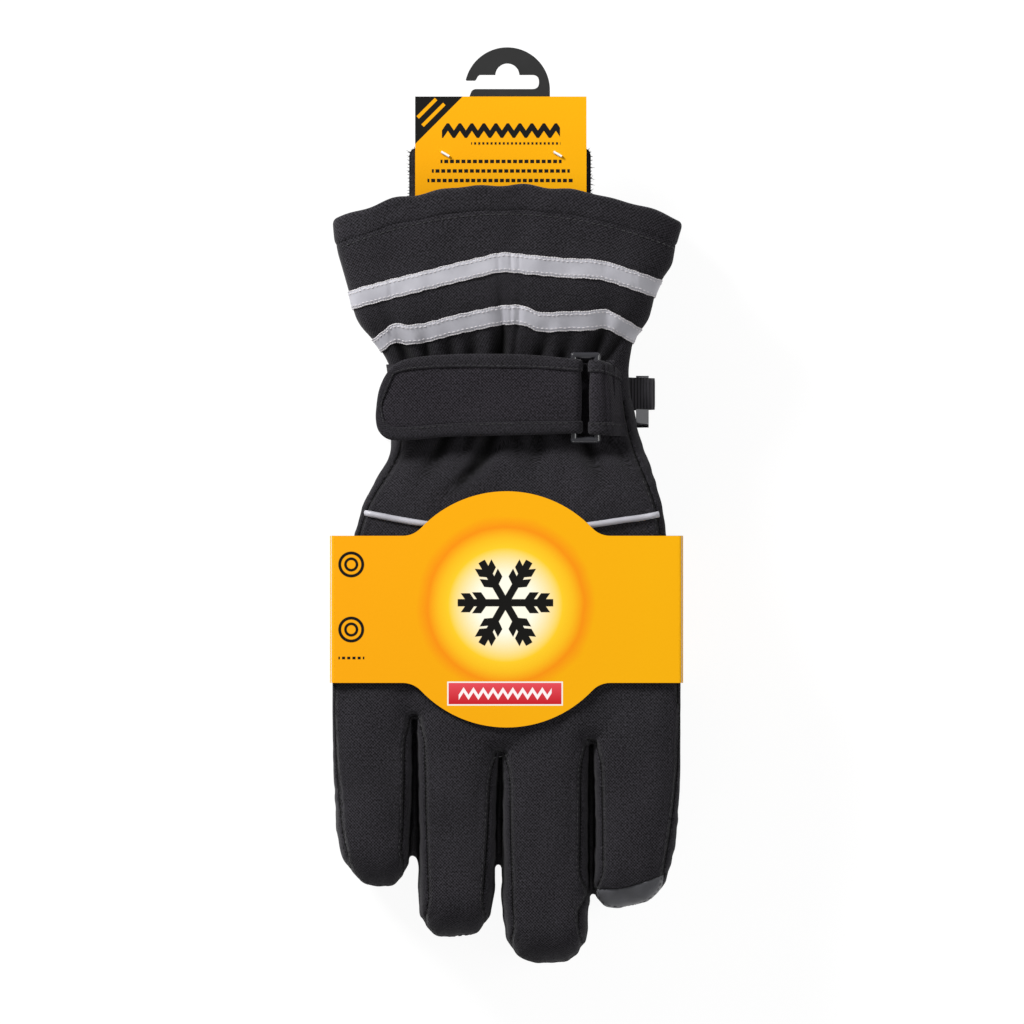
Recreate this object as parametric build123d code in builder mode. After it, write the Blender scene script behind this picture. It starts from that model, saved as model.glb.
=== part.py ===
from build123d import *
import os

os.makedirs("parts", exist_ok=True)

# A pair of padded winter work gloves, packed palm to palm in a card sleeve with a hanging header.
# X runs across the hand, +Y from the fingers to the hook, +Z up. The right glove lies on top.
# The two gloves mirror each other in the middle plane, and heights are measured from it.

# ---------------------------------------------------------------- driving dimensions, mm
# Card sleeve round both gloves: the gap to their sides and the headroom over their backs
sleeve_gap = 0.3
sleeve_headroom = 1.2
sleeve_length = 53.8
sleeve_y = -38.2
sleeve_card = 0.5
sleeve_fold = 1.6
disc_diameter = 86.4
disc_fillet = 9.0

# Fingers, little finger first: width at the knuckles, length below the crotch, taper on each side
finger_widths = (29.8, 30.4, 32.2, 32.2)
finger_lengths = (60.5, 79.2, 76.0, 59.3)
outer_tapers = (3.5, 1.4, 2.0, 0.6)
inner_tapers = (0.8, 2.3, 0.4, 5.0)
crotch_levels = (-78.9, -91.8, -87.8)
finger_gap = 1.0
finger_reach = 12.0
finger_bend = 90.0
tip_roundness = 0.46
tip_seam_roundness = 0.44
crotch_roundness = 0.48

# Sides of the hand and cuff: level, left edge, right edge
knuckle_station = -45.0
wrist_stations = (
    (-5.0, -53.6, 57.2),
    (22.0, -42.0, 49.0),
    (52.0, -43.5, 45.0),
    (66.0, -54.2, 51.5),
    (85.0, -60.6, 60.6),
    (106.0, -63.4, 64.0),
)
side_radius = 14.0

# Heights above the middle plane
pair_gap = 0.3
finger_top = 27.3
palm_rise = 13.0
wrist_top = 21.0
wrist_under = 3.0
cuff_top = 26.0
rim_radius = 11.6
knuckle_level = -68.0
knuckle_slope = 16.0
palm_heel = 8.0
heel_slope = 20.0
back_shoulder = 4.0
shoulder_slope = 19.5
flare_step = 1.0
cuff_flare = 22.0
seam_height = 15.0

# Layers of the wall
layer_gap = 0.1
shell_cloth = 0.9
padding = 1.9
plush = 1.3
cuff_plush = 1.6
thumb_plush = 2.6
seam_inset = 3.6
seam_gap = 0.15

# Cuff
mouth_level = 117.5
mouth_drop = 12.6
mouth_drop_at = 63.0
hem_depth = 10.0
tape_width = 6.9
tape_cloth = 0.3
upper_tape_level = 92.0
upper_tape_drop = 9.5
lower_tape_level = 73.0
lower_tape_drop = 6.2
tape_drop_at = 53.0
piping_level = -7.2
piping_drop = -5.1
piping_drop_at = 54.0
piping_width = 2.7
piping_height = 0.5
touch_tip_level = -138.0

# Thumb, folded flat between the palms
thumb_width = 33.0
thumb_x = 33.0
thumb_root = -9.0
thumb_end = -66.0
thumb_top = 12.7
thumb_rim = 5.6
thumb_hole = 8.0
thumb_hole_overlap = 1.0

# Wrist strap and its ring
strap_y = 39.2
strap_width = 27.6
strap_cloth = 1.6
strap_lift = 0.3
strap_end = -47.8
strap_end_radius = 9.0
binding_width = 4.9
bar_radius = 1.25
bar_spacing = 8.5
bar_clearance = 0.15
ring_x = 24.6
ring_height = 24.6
ring_length = 33.4
hinge_gap = 0.3
patch_start = -38.0
patch_end = 12.0
patch_margin = 3.2
patch_gap = 0.3
loop_pile = 1.1
strap_seam_height = 12.0
tab_end = 42.0
elastic_start = 28.0
elastic_end = 52.0
layer_seam = 38.0

# Webbing loops and the clip that pairs the gloves
webbing_width = 10.5
webbing_cloth = 1.0
webbing_y = 39.6
webbing_height = 7.0
webbing_end = 54.4
webbing_channel = 2.6
clip_width = 4.6
clip_strip = 1.2
clip_low = 28.3
clip_high = 47.4
clip_bend = 2.4

# Header card, tab and hook
card_left = -33.5
card_right = 29.3
card_above_tab = 18.7
card_bottom = 72.0
card_stock = 0.5
card_height = 5.0
tab_left = -35.7
tab_right = 30.9
tab_top = 131.0
tab_bottom = 68.0
tab_plush = 1.8
tab_corner = 2.8
tack_xs = (-22.5, 18.7)
tack_below_tab_top = 2.4
tack_bar = 3.4
tack_radius = 0.45
tack_stem = 0.3
tack_hole = 0.45
tack_angle = -30.0
hook_stock = 1.4
hook_left = -15.4
hook_right = 15.9
hook_crown = 18.1
hook_foot = 12.0
slot_low = 2.7
slot_high = 7.9
slot_bump = 4.3
slot_right = 11.9
slot_mouth = 3.1
slot_lip = 0.9
far = 200.0
beyond = 20.0

# ---------------------------------------------------------------- worked out from them
stack_height = 2 * (finger_top + sleeve_headroom + sleeve_card)
middle = stack_height / 2
hand_width = sum(finger_widths) + finger_gap * (len(finger_widths) - 1)
side_stations = ((knuckle_station, -hand_width / 2, hand_width / 2),) + wrist_stations
sleeve_width = hand_width + 2 * (sleeve_gap + sleeve_card)
card_top = tab_top + card_above_tab
tack_y = tab_top - tack_below_tab_top
finger_lefts = []
reach = -hand_width / 2
for width in finger_widths:
    finger_lefts.append(reach)
    reach += width + finger_gap
tip_levels = [crotch_levels[max(0, i - 1)] - length for i, length in enumerate(finger_lengths)]
tip_lefts = [left + taper for left, taper in zip(finger_lefts, outer_tapers)]
tip_rights = [left + width - taper for left, width, taper in zip(finger_lefts, finger_widths, inner_tapers)]
tip_middles = [(left + right) / 2 for left, right in zip(tip_lefts, tip_rights)]
shell_inner = shell_cloth
pad_outer = shell_inner + layer_gap
pad_inner = pad_outer + padding
plush_outer = pad_inner + layer_gap
plush_inner = plush_outer + plush
cuff_inner = pad_outer + cuff_plush
form_end = mouth_level + beyond
strap_low = strap_y - strap_width / 2
strap_high = strap_y + strap_width / 2
fold_radius = bar_radius + bar_clearance + strap_cloth
tail_low = ring_height + bar_radius + bar_clearance
tail_high = tail_low + strap_cloth
base_low = wrist_top + strap_lift
base_high = base_low + strap_cloth
tab_bar_x = ring_x + bar_spacing


# ---------------------------------------------------------------- forms that the layers share
def plan_outline(fingers):
    """Corner points of the glove seen from above, anticlockwise from the cuff's top left corner."""
    lefts = [(left, level) for level, left, right in reversed(side_stations)]
    rights = [(right, level) for level, left, right in side_stations]
    points = [(wrist_stations[-1][1], form_end)] + lefts
    if fingers:
        points.append((finger_lefts[0], crotch_levels[0] - finger_reach))
        for i, tip in enumerate(tip_levels):
            points += [(tip_lefts[i], tip), (tip_rights[i], tip)]
            if i < len(crotch_levels):
                right = finger_lefts[i] + finger_widths[i]
                points += [(right, crotch_levels[i]), (finger_lefts[i + 1], crotch_levels[i])]
        points.append((finger_lefts[-1] + finger_widths[-1], crotch_levels[-1] - finger_reach))
    return points + rights + [(wrist_stations[-1][2], form_end)]


def side_outline():
    """Corner points of the glove seen from the side: level along the glove, height."""
    flare_start = strap_high + flare_step
    back = [
        (min(tip_levels) - beyond, finger_top),
        (back_shoulder, finger_top),
        (back_shoulder + shoulder_slope, wrist_top),
        (flare_start, wrist_top),
        (flare_start + cuff_flare, cuff_top),
        (form_end + beyond, cuff_top),
    ]
    palm = [
        (form_end + beyond, pair_gap),
        (flare_start + cuff_flare / 2, pair_gap),
        (flare_start, wrist_under),
        (palm_heel + heel_slope, wrist_under),
        (palm_heel, palm_rise),
        (knuckle_level, palm_rise),
        (knuckle_level - knuckle_slope, pair_gap),
        (min(tip_levels) - beyond, pair_gap),
    ]
    return [(level, middle + height) for level, height in back + palm]


def at_points(vertices, points):
    """The vertices that lie on any of the given points."""
    found = []
    for vertex in vertices:
        if any(abs(vertex.X - x) + abs(vertex.Y - y) < 0.01 for x, y in points):
            found.append(vertex)
    return found


def glove_plan(inset, fingers=True):
    """The glove's outline seen from above, moved inwards by inset."""
    with BuildSketch() as plan:
        with BuildLine():
            Polyline(*plan_outline(fingers), close=True)
        make_face()
        lefts = [(left, level) for level, left, right in side_stations]
        rights = [(right, level) for level, left, right in side_stations]
        fillet(at_points(plan.vertices(), lefts + rights), side_radius)
        if fingers:
            outer_bends = [
                (finger_lefts[0], crotch_levels[0] - finger_reach),
                (finger_lefts[-1] + finger_widths[-1], crotch_levels[-1] - finger_reach),
            ]
            fillet(at_points(plan.vertices(), outer_bends), finger_bend)
            for left, right, tip in zip(tip_lefts, tip_rights, tip_levels):
                corners = at_points(plan.vertices(), [(left, tip), (right, tip)])
                fillet(corners, tip_roundness * (right - left))
            for i, level in enumerate(crotch_levels):
                right = finger_lefts[i] + finger_widths[i]
                corners = at_points(plan.vertices(), [(right, level), (right + finger_gap, level)])
                fillet(corners, crotch_roundness * finger_gap)
        if inset:
            offset(amount=-inset, kind=Kind.INTERSECTION)
    return plan.sketch


def glove_form(inset, fingers=True):
    """The whole glove as a solid with a rounded rim, moved inwards by inset."""
    with BuildPart() as form:
        with BuildSketch(Plane.XY.offset(middle + pair_gap + inset)):
            add(glove_plan(inset, fingers))
        extrude(amount=finger_top - pair_gap - 2 * inset)
        levels = form.edges().group_by(Axis.Z)
        ends = form.edges().group_by(Axis.Y)
        rim = [edge for edge in levels[0] + levels[-1] if edge not in ends[-1]]
        if not fingers:
            rim = [edge for edge in rim if edge not in ends[0]]
        fillet(rim, rim_radius - inset)
        with BuildSketch(Plane.YZ):
            with BuildLine():
                Polyline(*side_outline(), close=True)
            make_face()
            if inset:
                offset(amount=-inset, kind=Kind.INTERSECTION)
        extrude(amount=far, both=True, mode=Mode.INTERSECT)
    return form.part


def block(low, high):
    """A plain box between two corners, heights measured from the middle plane."""
    with BuildPart() as cell:
        with Locations(((low[0] + high[0]) / 2, (low[1] + high[1]) / 2, middle + (low[2] + high[2]) / 2)):
            Box(high[0] - low[0], high[1] - low[1], high[2] - low[2])
    return cell.part


def bowed_strip(level, drop, drop_at, depth, low=0.0):
    """A band across the glove between two like arcs, from a height upwards."""
    bow = drop * (far / 2 / drop_at) ** 2
    low_level = level - bow - depth
    with BuildPart() as strip:
        with BuildSketch(Plane.XY.offset(middle + low)):
            with BuildLine():
                ThreePointArc((-far / 2, level - bow), (0, level), (far / 2, level - bow))
                Line((far / 2, level - bow), (far / 2, low_level))
                ThreePointArc((far / 2, low_level), (0, level - depth), (-far / 2, low_level))
                Line((-far / 2, low_level), (-far / 2, level - bow))
            make_face()
        extrude(amount=stack_height)
    return strip.part


def inner_prism(inset):
    """A prism over the part of the outline that lies about inset from its edge, with plain sides."""
    with BuildPart() as prism:
        with BuildSketch(Plane.XY.offset(middle)) as plan:
            with BuildLine():
                Polyline(*plan_outline(True), close=True)
            make_face()
            offset(amount=-inset, kind=Kind.INTERSECTION)
            for left, right, tip in zip(tip_lefts, tip_rights, tip_levels):
                corners = [
                    vertex
                    for vertex in plan.vertices()
                    if abs(vertex.Y - tip - inset) < 0.01 and left < vertex.X < right
                ]
                fillet(corners, tip_seam_roundness * (right - left) - inset)
        extrude(amount=stack_height)
    return prism.part


def thumb_form(inset):
    """The folded thumb, moved inwards by inset."""
    half = thumb_width / 2
    with BuildPart() as form:
        with BuildSketch(Plane.XY.offset(middle + pair_gap + inset)):
            with Locations((thumb_x, (thumb_root + thumb_end + half) / 2)):
                SlotCenterToCenter(thumb_root - thumb_end - half, thumb_width - 2 * inset, rotation=90)
        extrude(amount=thumb_top - pair_gap - 2 * inset)
        fillet(form.edges().group_by(Axis.Z)[0] + form.edges().group_by(Axis.Z)[-1], thumb_rim - inset)
    return form.part


def thumb_passage():
    """The hole between the thumb and the hand."""
    with BuildPart() as passage:
        with BuildSketch(Plane.XY.offset(middle + (thumb_top + pair_gap) / 2)):
            with Locations((thumb_x, thumb_root)):
                Circle(thumb_hole)
        extrude(amount=palm_rise / 2 + plush_inner + thumb_hole_overlap)
    return passage.part


def write(piece, name):
    """Label a finished piece and write its STEP file."""
    piece.label = name
    export_step(piece, f"parts/{name}.step")


def write_pair(piece, name):
    """Write a piece of the right glove and its mirror image in the left glove."""
    write(piece, f"right_{name}")
    write(mirror(piece, about=Plane.XY.offset(middle)), f"left_{name}")


# ---------------------------------------------------------------- outer shell
above_seam = block((-far, -far, seam_height), (far, far, far))
hand_side = block((-far, -far, -1), (far, layer_seam, far))
cuff_side = block((-far, layer_seam + seam_gap, -1), (far, far, far))
finger_side = block((tip_middles[0], -far, -1), (tip_middles[-1], knuckle_level, far))
index_left = finger_lefts[-1] - finger_gap / 2
touch_side = block((index_left, -far, -1), (far, touch_tip_level, far))
touch_cap = block((index_left, -far, -1), (far, touch_tip_level - seam_gap, far))
outside = glove_form(0)
shell_face = glove_form(shell_inner)

with BuildPart() as back_panel:
    add(outside)
    add(above_seam, mode=Mode.INTERSECT)
    add(hand_side, mode=Mode.INTERSECT)
    add(touch_side, mode=Mode.SUBTRACT)
    add(inner_prism(seam_inset + seam_gap), mode=Mode.INTERSECT)
    add(shell_face, mode=Mode.SUBTRACT)
write_pair(back_panel.part, "back_panel")

with BuildPart() as back_zone:
    add(inner_prism(seam_inset))
    add(block((-far, -far, seam_height - seam_gap), (far, far, far)), mode=Mode.INTERSECT)

with BuildPart() as finger_walls:
    add(finger_side)
    add(inner_prism(seam_inset), mode=Mode.SUBTRACT)

with BuildPart() as palm_panel:
    add(outside)
    add(hand_side, mode=Mode.INTERSECT)
    add(touch_side, mode=Mode.SUBTRACT)
    add(back_zone.part, mode=Mode.SUBTRACT)
    add(finger_walls.part, mode=Mode.SUBTRACT)
    add(shell_face, mode=Mode.SUBTRACT)
    add(thumb_passage(), mode=Mode.SUBTRACT)
write_pair(palm_panel.part, "palm_panel")

for i, name in enumerate(("outer", "middle", "inner")):
    with BuildPart() as fourchette:
        add(outside)
        strip_low = (tip_middles[i] + seam_gap, -far, -1)
        strip_high = (tip_middles[i + 1] - seam_gap, knuckle_level, far)
        add(block(strip_low, strip_high), mode=Mode.INTERSECT)
        add(touch_side, mode=Mode.SUBTRACT)
        add(inner_prism(seam_inset - seam_gap), mode=Mode.SUBTRACT)
        add(shell_face, mode=Mode.SUBTRACT)
    write_pair(fourchette.part, f"fourchette_{name}")

with BuildPart() as touch_tip:
    add(outside)
    add(touch_cap, mode=Mode.INTERSECT)
    add(shell_face, mode=Mode.SUBTRACT)
write_pair(touch_tip.part, "touch_tip")

# ---------------------------------------------------------------- padding and lining
with BuildPart() as insulation:
    add(glove_form(pad_outer))
    add(block((-far, -far, -1), (far, elastic_start - seam_gap, far)), mode=Mode.INTERSECT)
    add(glove_form(pad_inner), mode=Mode.SUBTRACT)
    add(thumb_passage(), mode=Mode.SUBTRACT)
write_pair(insulation.part, "insulation")

with BuildPart() as lining:
    add(glove_form(plush_outer))
    add(block((-far, -far, -1), (far, elastic_end, far)), mode=Mode.INTERSECT)
    add(glove_form(plush_inner), mode=Mode.SUBTRACT)
    add(thumb_passage(), mode=Mode.SUBTRACT)
write_pair(lining.part, "lining")

with BuildPart() as thumb_shell:
    add(thumb_form(0))
    add(thumb_form(shell_inner), mode=Mode.SUBTRACT)
    add(thumb_passage(), mode=Mode.SUBTRACT)
write_pair(thumb_shell.part, "thumb_shell")

with BuildPart() as thumb_lining:
    add(thumb_form(pad_outer))
    add(thumb_form(pad_outer + thumb_plush), mode=Mode.SUBTRACT)
    add(thumb_passage(), mode=Mode.SUBTRACT)
write_pair(thumb_lining.part, "thumb_lining")

# ---------------------------------------------------------------- cuff
below_hem = bowed_strip(mouth_level - hem_depth - seam_gap, mouth_drop, mouth_drop_at, far)
cuff_outside = glove_form(0, False)
cuff_face = glove_form(cuff_inner, False)
with BuildPart() as cuff_shell:
    add(cuff_outside)
    add(cuff_side, mode=Mode.INTERSECT)
    add(below_hem, mode=Mode.INTERSECT)
    add(glove_form(shell_inner, False), mode=Mode.SUBTRACT)
write_pair(cuff_shell.part, "cuff_shell")

with BuildPart() as cuff_lining:
    add(glove_form(pad_outer, False))
    add(block((-far, elastic_end + seam_gap, -1), (far, far, far)), mode=Mode.INTERSECT)
    add(below_hem, mode=Mode.INTERSECT)
    add(cuff_face, mode=Mode.SUBTRACT)
write_pair(cuff_lining.part, "cuff_lining")

with BuildPart() as cuff_hem:
    add(cuff_outside)
    add(bowed_strip(mouth_level, mouth_drop, mouth_drop_at, hem_depth), mode=Mode.INTERSECT)
    add(cuff_face, mode=Mode.SUBTRACT)
write_pair(cuff_hem.part, "cuff_hem")

with BuildPart() as wrist_elastic:
    add(glove_form(pad_outer, False))
    add(block((-far, elastic_start, -1), (far, elastic_end, far)), mode=Mode.INTERSECT)
    add(glove_form(pad_inner, False), mode=Mode.SUBTRACT)
write_pair(wrist_elastic.part, "wrist_elastic")

tape_outside = glove_form(-layer_gap / 2 - tape_cloth, False)
tape_face = glove_form(-layer_gap / 2, False)
for name, level, drop in (
    ("tape_upper", upper_tape_level, upper_tape_drop),
    ("tape_lower", lower_tape_level, lower_tape_drop),
):
    with BuildPart() as tape:
        add(tape_outside)
        add(bowed_strip(level, drop, tape_drop_at, tape_width, seam_height), mode=Mode.INTERSECT)
        add(tape_face, mode=Mode.SUBTRACT)
    write_pair(tape.part, name)

with BuildPart() as knuckle_piping:
    piping_line = bowed_strip(piping_level, piping_drop, piping_drop_at, piping_width, seam_height)
    add(glove_form(-piping_height, False))
    add(piping_line, mode=Mode.INTERSECT)
    add(tape_face, mode=Mode.SUBTRACT)
write_pair(knuckle_piping.part, "knuckle_piping")

# ---------------------------------------------------------------- wrist strap
strap_cross = Plane.XZ.offset(-strap_y)
strap_outside = glove_form(-strap_lift - strap_cloth, False)
strap_face = glove_form(-strap_lift, False)
bar_at = (ring_x, middle + ring_height)
tab_bar_at = (tab_bar_x, middle + ring_height)

with BuildPart() as strap_base:
    add(strap_outside)
    base_corner = (ring_x - fold_radius - hinge_gap, strap_high, far)
    add(block((-far, strap_low, strap_seam_height), base_corner), mode=Mode.INTERSECT)
    add(strap_face, mode=Mode.SUBTRACT)
write_pair(strap_base.part, "strap_base")

with BuildPart() as binding:
    with BuildSketch(Plane.XY.offset(middle + tail_low)) as border:
        border_end = ring_x - fold_radius
        with Locations(((strap_end + border_end) / 2, strap_y)):
            Rectangle(border_end - strap_end, strap_width)
        fillet(border.vertices().group_by(Axis.X)[0], strap_end_radius)
        panel_length = border_end - strap_end - binding_width
        with Locations((border_end - panel_length / 2, strap_y)):
            Rectangle(panel_length, strap_width - 2 * binding_width, mode=Mode.SUBTRACT)
        inner_corners = border.vertices().filter_by_position(
            Axis.X, strap_end + binding_width - 0.1, strap_end + binding_width + 0.1
        )
        fillet(inner_corners, strap_end_radius - binding_width)
    extrude(amount=strap_cloth)
write_pair(binding.part, "strap_binding")

with BuildPart() as strap_tail:
    with BuildSketch(strap_cross):
        with Locations(bar_at):
            Circle(fold_radius)
            Rectangle(fold_radius, 2 * fold_radius, align=(Align.MAX, Align.CENTER), mode=Mode.SUBTRACT)
        with Locations((ring_x, middle + tail_low)):
            Rectangle(ring_x - strap_end, strap_cloth, align=(Align.MAX, Align.MIN))
        with Locations(bar_at):
            Circle(bar_radius + bar_clearance, mode=Mode.SUBTRACT)
    extrude(amount=strap_width / 2, both=True)
    corners = strap_tail.edges().filter_by(Axis.Z).group_by(Axis.X)[0]
    fillet(corners, strap_end_radius)
    add(binding.part, mode=Mode.SUBTRACT)
write_pair(strap_tail.part, "strap_tail")

with BuildPart() as loop_patch:
    with Locations(((patch_start + patch_end) / 2, strap_y, middle + base_high)):
        Box(
            patch_end - patch_start,
            strap_width - 2 * patch_margin,
            loop_pile,
            align=(Align.CENTER, Align.CENTER, Align.MIN),
        )
write_pair(loop_patch.part, "loop_patch")

with BuildPart() as hook_patch:
    with Locations(((patch_start + patch_end) / 2, strap_y, middle + tail_low)):
        Box(
            patch_end - patch_start,
            strap_width - 2 * patch_margin,
            tail_low - base_high - loop_pile - patch_gap,
            align=(Align.CENTER, Align.CENTER, Align.MAX),
        )
write_pair(hook_patch.part, "hook_patch")

with BuildPart() as slider_ring:
    ring_half = ring_length / 2 - bar_radius
    bar_height = middle + ring_height
    with Locations((ring_x, strap_y, bar_height), (tab_bar_x, strap_y, bar_height)):
        Cylinder(bar_radius, 2 * ring_half, rotation=(90, 0, 0))
    ring_middle = ring_x + bar_spacing / 2
    for bar_y in (strap_y - ring_half, strap_y + ring_half):
        with Locations((ring_middle, bar_y, bar_height)):
            Cylinder(bar_radius, bar_spacing, rotation=(0, 90, 0))
    for x in (ring_x, tab_bar_x):
        with Locations((x, strap_y - ring_half, bar_height), (x, strap_y + ring_half, bar_height)):
            Sphere(bar_radius)
write_pair(slider_ring.part, "slider_ring")

with BuildPart() as ring_tab:
    sewn_top = middle + base_low + 2 * strap_cloth
    with BuildSketch(strap_cross):
        with Locations(tab_bar_at):
            Circle(fold_radius)
        with BuildLine():
            Polyline(
                (tab_bar_x, middle + ring_height + fold_radius),
                (tab_end, sewn_top),
                (tab_end, middle + base_low),
                (tab_bar_x, middle + ring_height - fold_radius),
                close=True,
            )
        make_face()
        with Locations(tab_bar_at):
            Circle(bar_radius + bar_clearance, mode=Mode.SUBTRACT)
        with BuildLine():
            Polyline(
                (tab_bar_x, middle + tail_low),
                (tab_end - 2 * strap_cloth, middle + base_high + layer_gap),
                (tab_bar_x, middle + ring_height - bar_radius - bar_clearance),
                close=True,
            )
        make_face(mode=Mode.SUBTRACT)
    extrude(amount=strap_width / 2, both=True)
with BuildPart() as tab_side:
    add(strap_outside)
    side_low = (tab_end - 2 * layer_gap, strap_low, strap_seam_height)
    add(block(side_low, (far, strap_high, far)), mode=Mode.INTERSECT)
    add(strap_face, mode=Mode.SUBTRACT)
with BuildPart() as whole_tab:
    add(ring_tab.part)
    add(tab_side.part)
write_pair(whole_tab.part, "ring_tab")

# ---------------------------------------------------------------- webbing loops and pairing clip
loop_radius = webbing_channel / 2 + webbing_cloth
loop_centre = webbing_end - loop_radius
channel_start = loop_centre - clip_width - 2 * hinge_gap
with BuildPart() as webbing_loop:
    with BuildSketch(Plane.XZ.offset(-webbing_y)):
        with Locations((loop_centre, middle + webbing_height)):
            Circle(loop_radius)
            Rectangle(loop_centre, 2 * loop_radius, align=(Align.MAX, Align.CENTER))
            Circle(webbing_channel / 2, mode=Mode.SUBTRACT)
            Rectangle(
                loop_centre - channel_start,
                webbing_channel,
                align=(Align.MAX, Align.CENTER),
                mode=Mode.SUBTRACT,
            )
    extrude(amount=webbing_width / 2, both=True)
    add(glove_form(-layer_gap, False), mode=Mode.SUBTRACT)
    inside = [solid for solid in webbing_loop.solids() if solid.center().X < tab_end]
    for solid in inside:
        add(solid, mode=Mode.SUBTRACT)
write_pair(webbing_loop.part, "webbing_loop")

with BuildPart() as pair_clip:
    clip_rise = 2 * webbing_height + clip_strip
    with BuildSketch(Plane.YZ.offset(loop_centre - clip_width / 2)):
        with Locations(((clip_low + clip_high) / 2, middle)):
            RectangleRounded(clip_high - clip_low, clip_rise, clip_bend)
            RectangleRounded(
                clip_high - clip_low - 2 * clip_strip,
                clip_rise - 2 * clip_strip,
                clip_bend - clip_strip,
                mode=Mode.SUBTRACT,
            )
    extrude(amount=clip_width / 2, both=True)
write(pair_clip.part, "pair_clip")

# ---------------------------------------------------------------- card sleeve
with BuildPart() as sleeve:
    with BuildSketch(Plane.XZ.offset(-sleeve_y)):
        with Locations((0, middle)):
            RectangleRounded(sleeve_width, stack_height, sleeve_fold)
            RectangleRounded(
                sleeve_width - 2 * sleeve_card,
                stack_height - 2 * sleeve_card,
                sleeve_fold - sleeve_card,
                mode=Mode.SUBTRACT,
            )
    extrude(amount=sleeve_length / 2, both=True)
    with BuildSketch(Plane.XY.offset(stack_height - sleeve_card)) as face:
        with Locations((0, sleeve_y)):
            Rectangle(sleeve_width - 2 * sleeve_fold, sleeve_length)
            Circle(disc_diameter / 2)
        meeting = ((disc_diameter / 2) ** 2 - (sleeve_length / 2) ** 2) ** 0.5
        joins = face.vertices().filter_by_position(Axis.X, -meeting - 0.1, meeting + 0.1)
        fillet(joins, disc_fillet)
    extrude(amount=sleeve_card)
write(sleeve.part, "band_sleeve")

# ---------------------------------------------------------------- header card, plush tab, tacks and hook
card_rear = middle + card_height
tab_front = card_rear - 2 * layer_gap
with BuildPart() as header_card:
    with BuildSketch(Plane.XY.offset(card_rear)):
        with Locations(((card_left + card_right) / 2, (card_top + card_bottom) / 2)):
            Rectangle(card_right - card_left, card_top - card_bottom)
        with Locations(*[(x, tack_y) for x in tack_xs]):
            Circle(tack_hole, mode=Mode.SUBTRACT)
    extrude(amount=card_stock)
write(header_card.part, "header_card")

with BuildPart() as backing_tab:
    with BuildSketch(Plane.XY.offset(tab_front - tab_plush)):
        with Locations(((tab_left + tab_right) / 2, (tab_top + tab_bottom) / 2)):
            RectangleRounded(tab_right - tab_left, tab_top - tab_bottom, tab_corner)
        with Locations(*[(x, tack_y) for x in tack_xs]):
            Circle(tack_hole, mode=Mode.SUBTRACT)
    extrude(amount=tab_plush)
write(backing_tab.part, "backing_tab")

with BuildPart() as tacks:
    tack_front = card_rear + card_stock + layer_gap + tack_radius
    tack_rear = tab_front - tab_plush - layer_gap - tack_radius
    for x in tack_xs:
        for height in (tack_front, tack_rear):
            with Locations(Location((x, tack_y, height), (0, 0, tack_angle))):
                Cylinder(tack_radius, tack_bar, rotation=(0, 90, 0))
        with Locations((x, tack_y, (tack_front + tack_rear) / 2)):
            Cylinder(tack_stem, tack_front - tack_rear)
write(tacks.part, "tacks")

with BuildPart() as hang_hook:
    crown_radius = (hook_right - hook_left) / 2
    crown_middle = (hook_right + hook_left) / 2
    crown_y = card_top + hook_crown - crown_radius
    slot_height = slot_high - slot_low
    slot_level = card_top + (slot_high + slot_low) / 2
    tip_x = hook_left + slot_height * slot_lip
    with BuildSketch(Plane.XY.offset(card_rear - layer_gap - hook_stock)):
        with Locations((crown_middle, crown_y)):
            Circle(crown_radius)
            Rectangle(
                2 * crown_radius, crown_radius, align=(Align.CENTER, Align.MAX), mode=Mode.SUBTRACT
            )
        with Locations((crown_middle, crown_y)):
            Rectangle(
                2 * crown_radius, crown_y - card_top + hook_foot, align=(Align.CENTER, Align.MAX)
            )
        with Locations((slot_right - slot_height / 2, slot_level)):
            Circle(slot_height / 2, mode=Mode.SUBTRACT)
            Rectangle(
                slot_right - slot_height / 2 - tip_x,
                slot_height,
                align=(Align.MAX, Align.CENTER),
                mode=Mode.SUBTRACT,
            )
        with Locations((crown_middle, card_top + slot_high)):
            Circle(slot_bump, mode=Mode.SUBTRACT)
        with Locations((tip_x, card_top + slot_low)):
            Rectangle(beyond, slot_mouth, align=(Align.MAX, Align.MIN), mode=Mode.SUBTRACT)
    extrude(amount=hook_stock)
write(hang_hook.part, "hang_hook")
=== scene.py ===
import bpy
import numpy as np
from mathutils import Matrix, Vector
from mathutils.bvhtree import BVHTree
from mathutils.geometry import tessellate_polygon


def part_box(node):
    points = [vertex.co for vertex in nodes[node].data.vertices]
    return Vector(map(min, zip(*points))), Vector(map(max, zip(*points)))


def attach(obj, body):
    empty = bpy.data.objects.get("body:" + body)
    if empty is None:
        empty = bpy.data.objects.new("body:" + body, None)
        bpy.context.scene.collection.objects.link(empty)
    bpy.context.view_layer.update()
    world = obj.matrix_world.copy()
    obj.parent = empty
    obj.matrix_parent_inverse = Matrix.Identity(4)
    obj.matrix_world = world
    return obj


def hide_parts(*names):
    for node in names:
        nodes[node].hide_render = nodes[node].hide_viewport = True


# A pair of padded winter work gloves, palm to palm in a card sleeve with a hanging header.
# Pieces are worked out in millimetres, with heights measured from the plane between the gloves.

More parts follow.
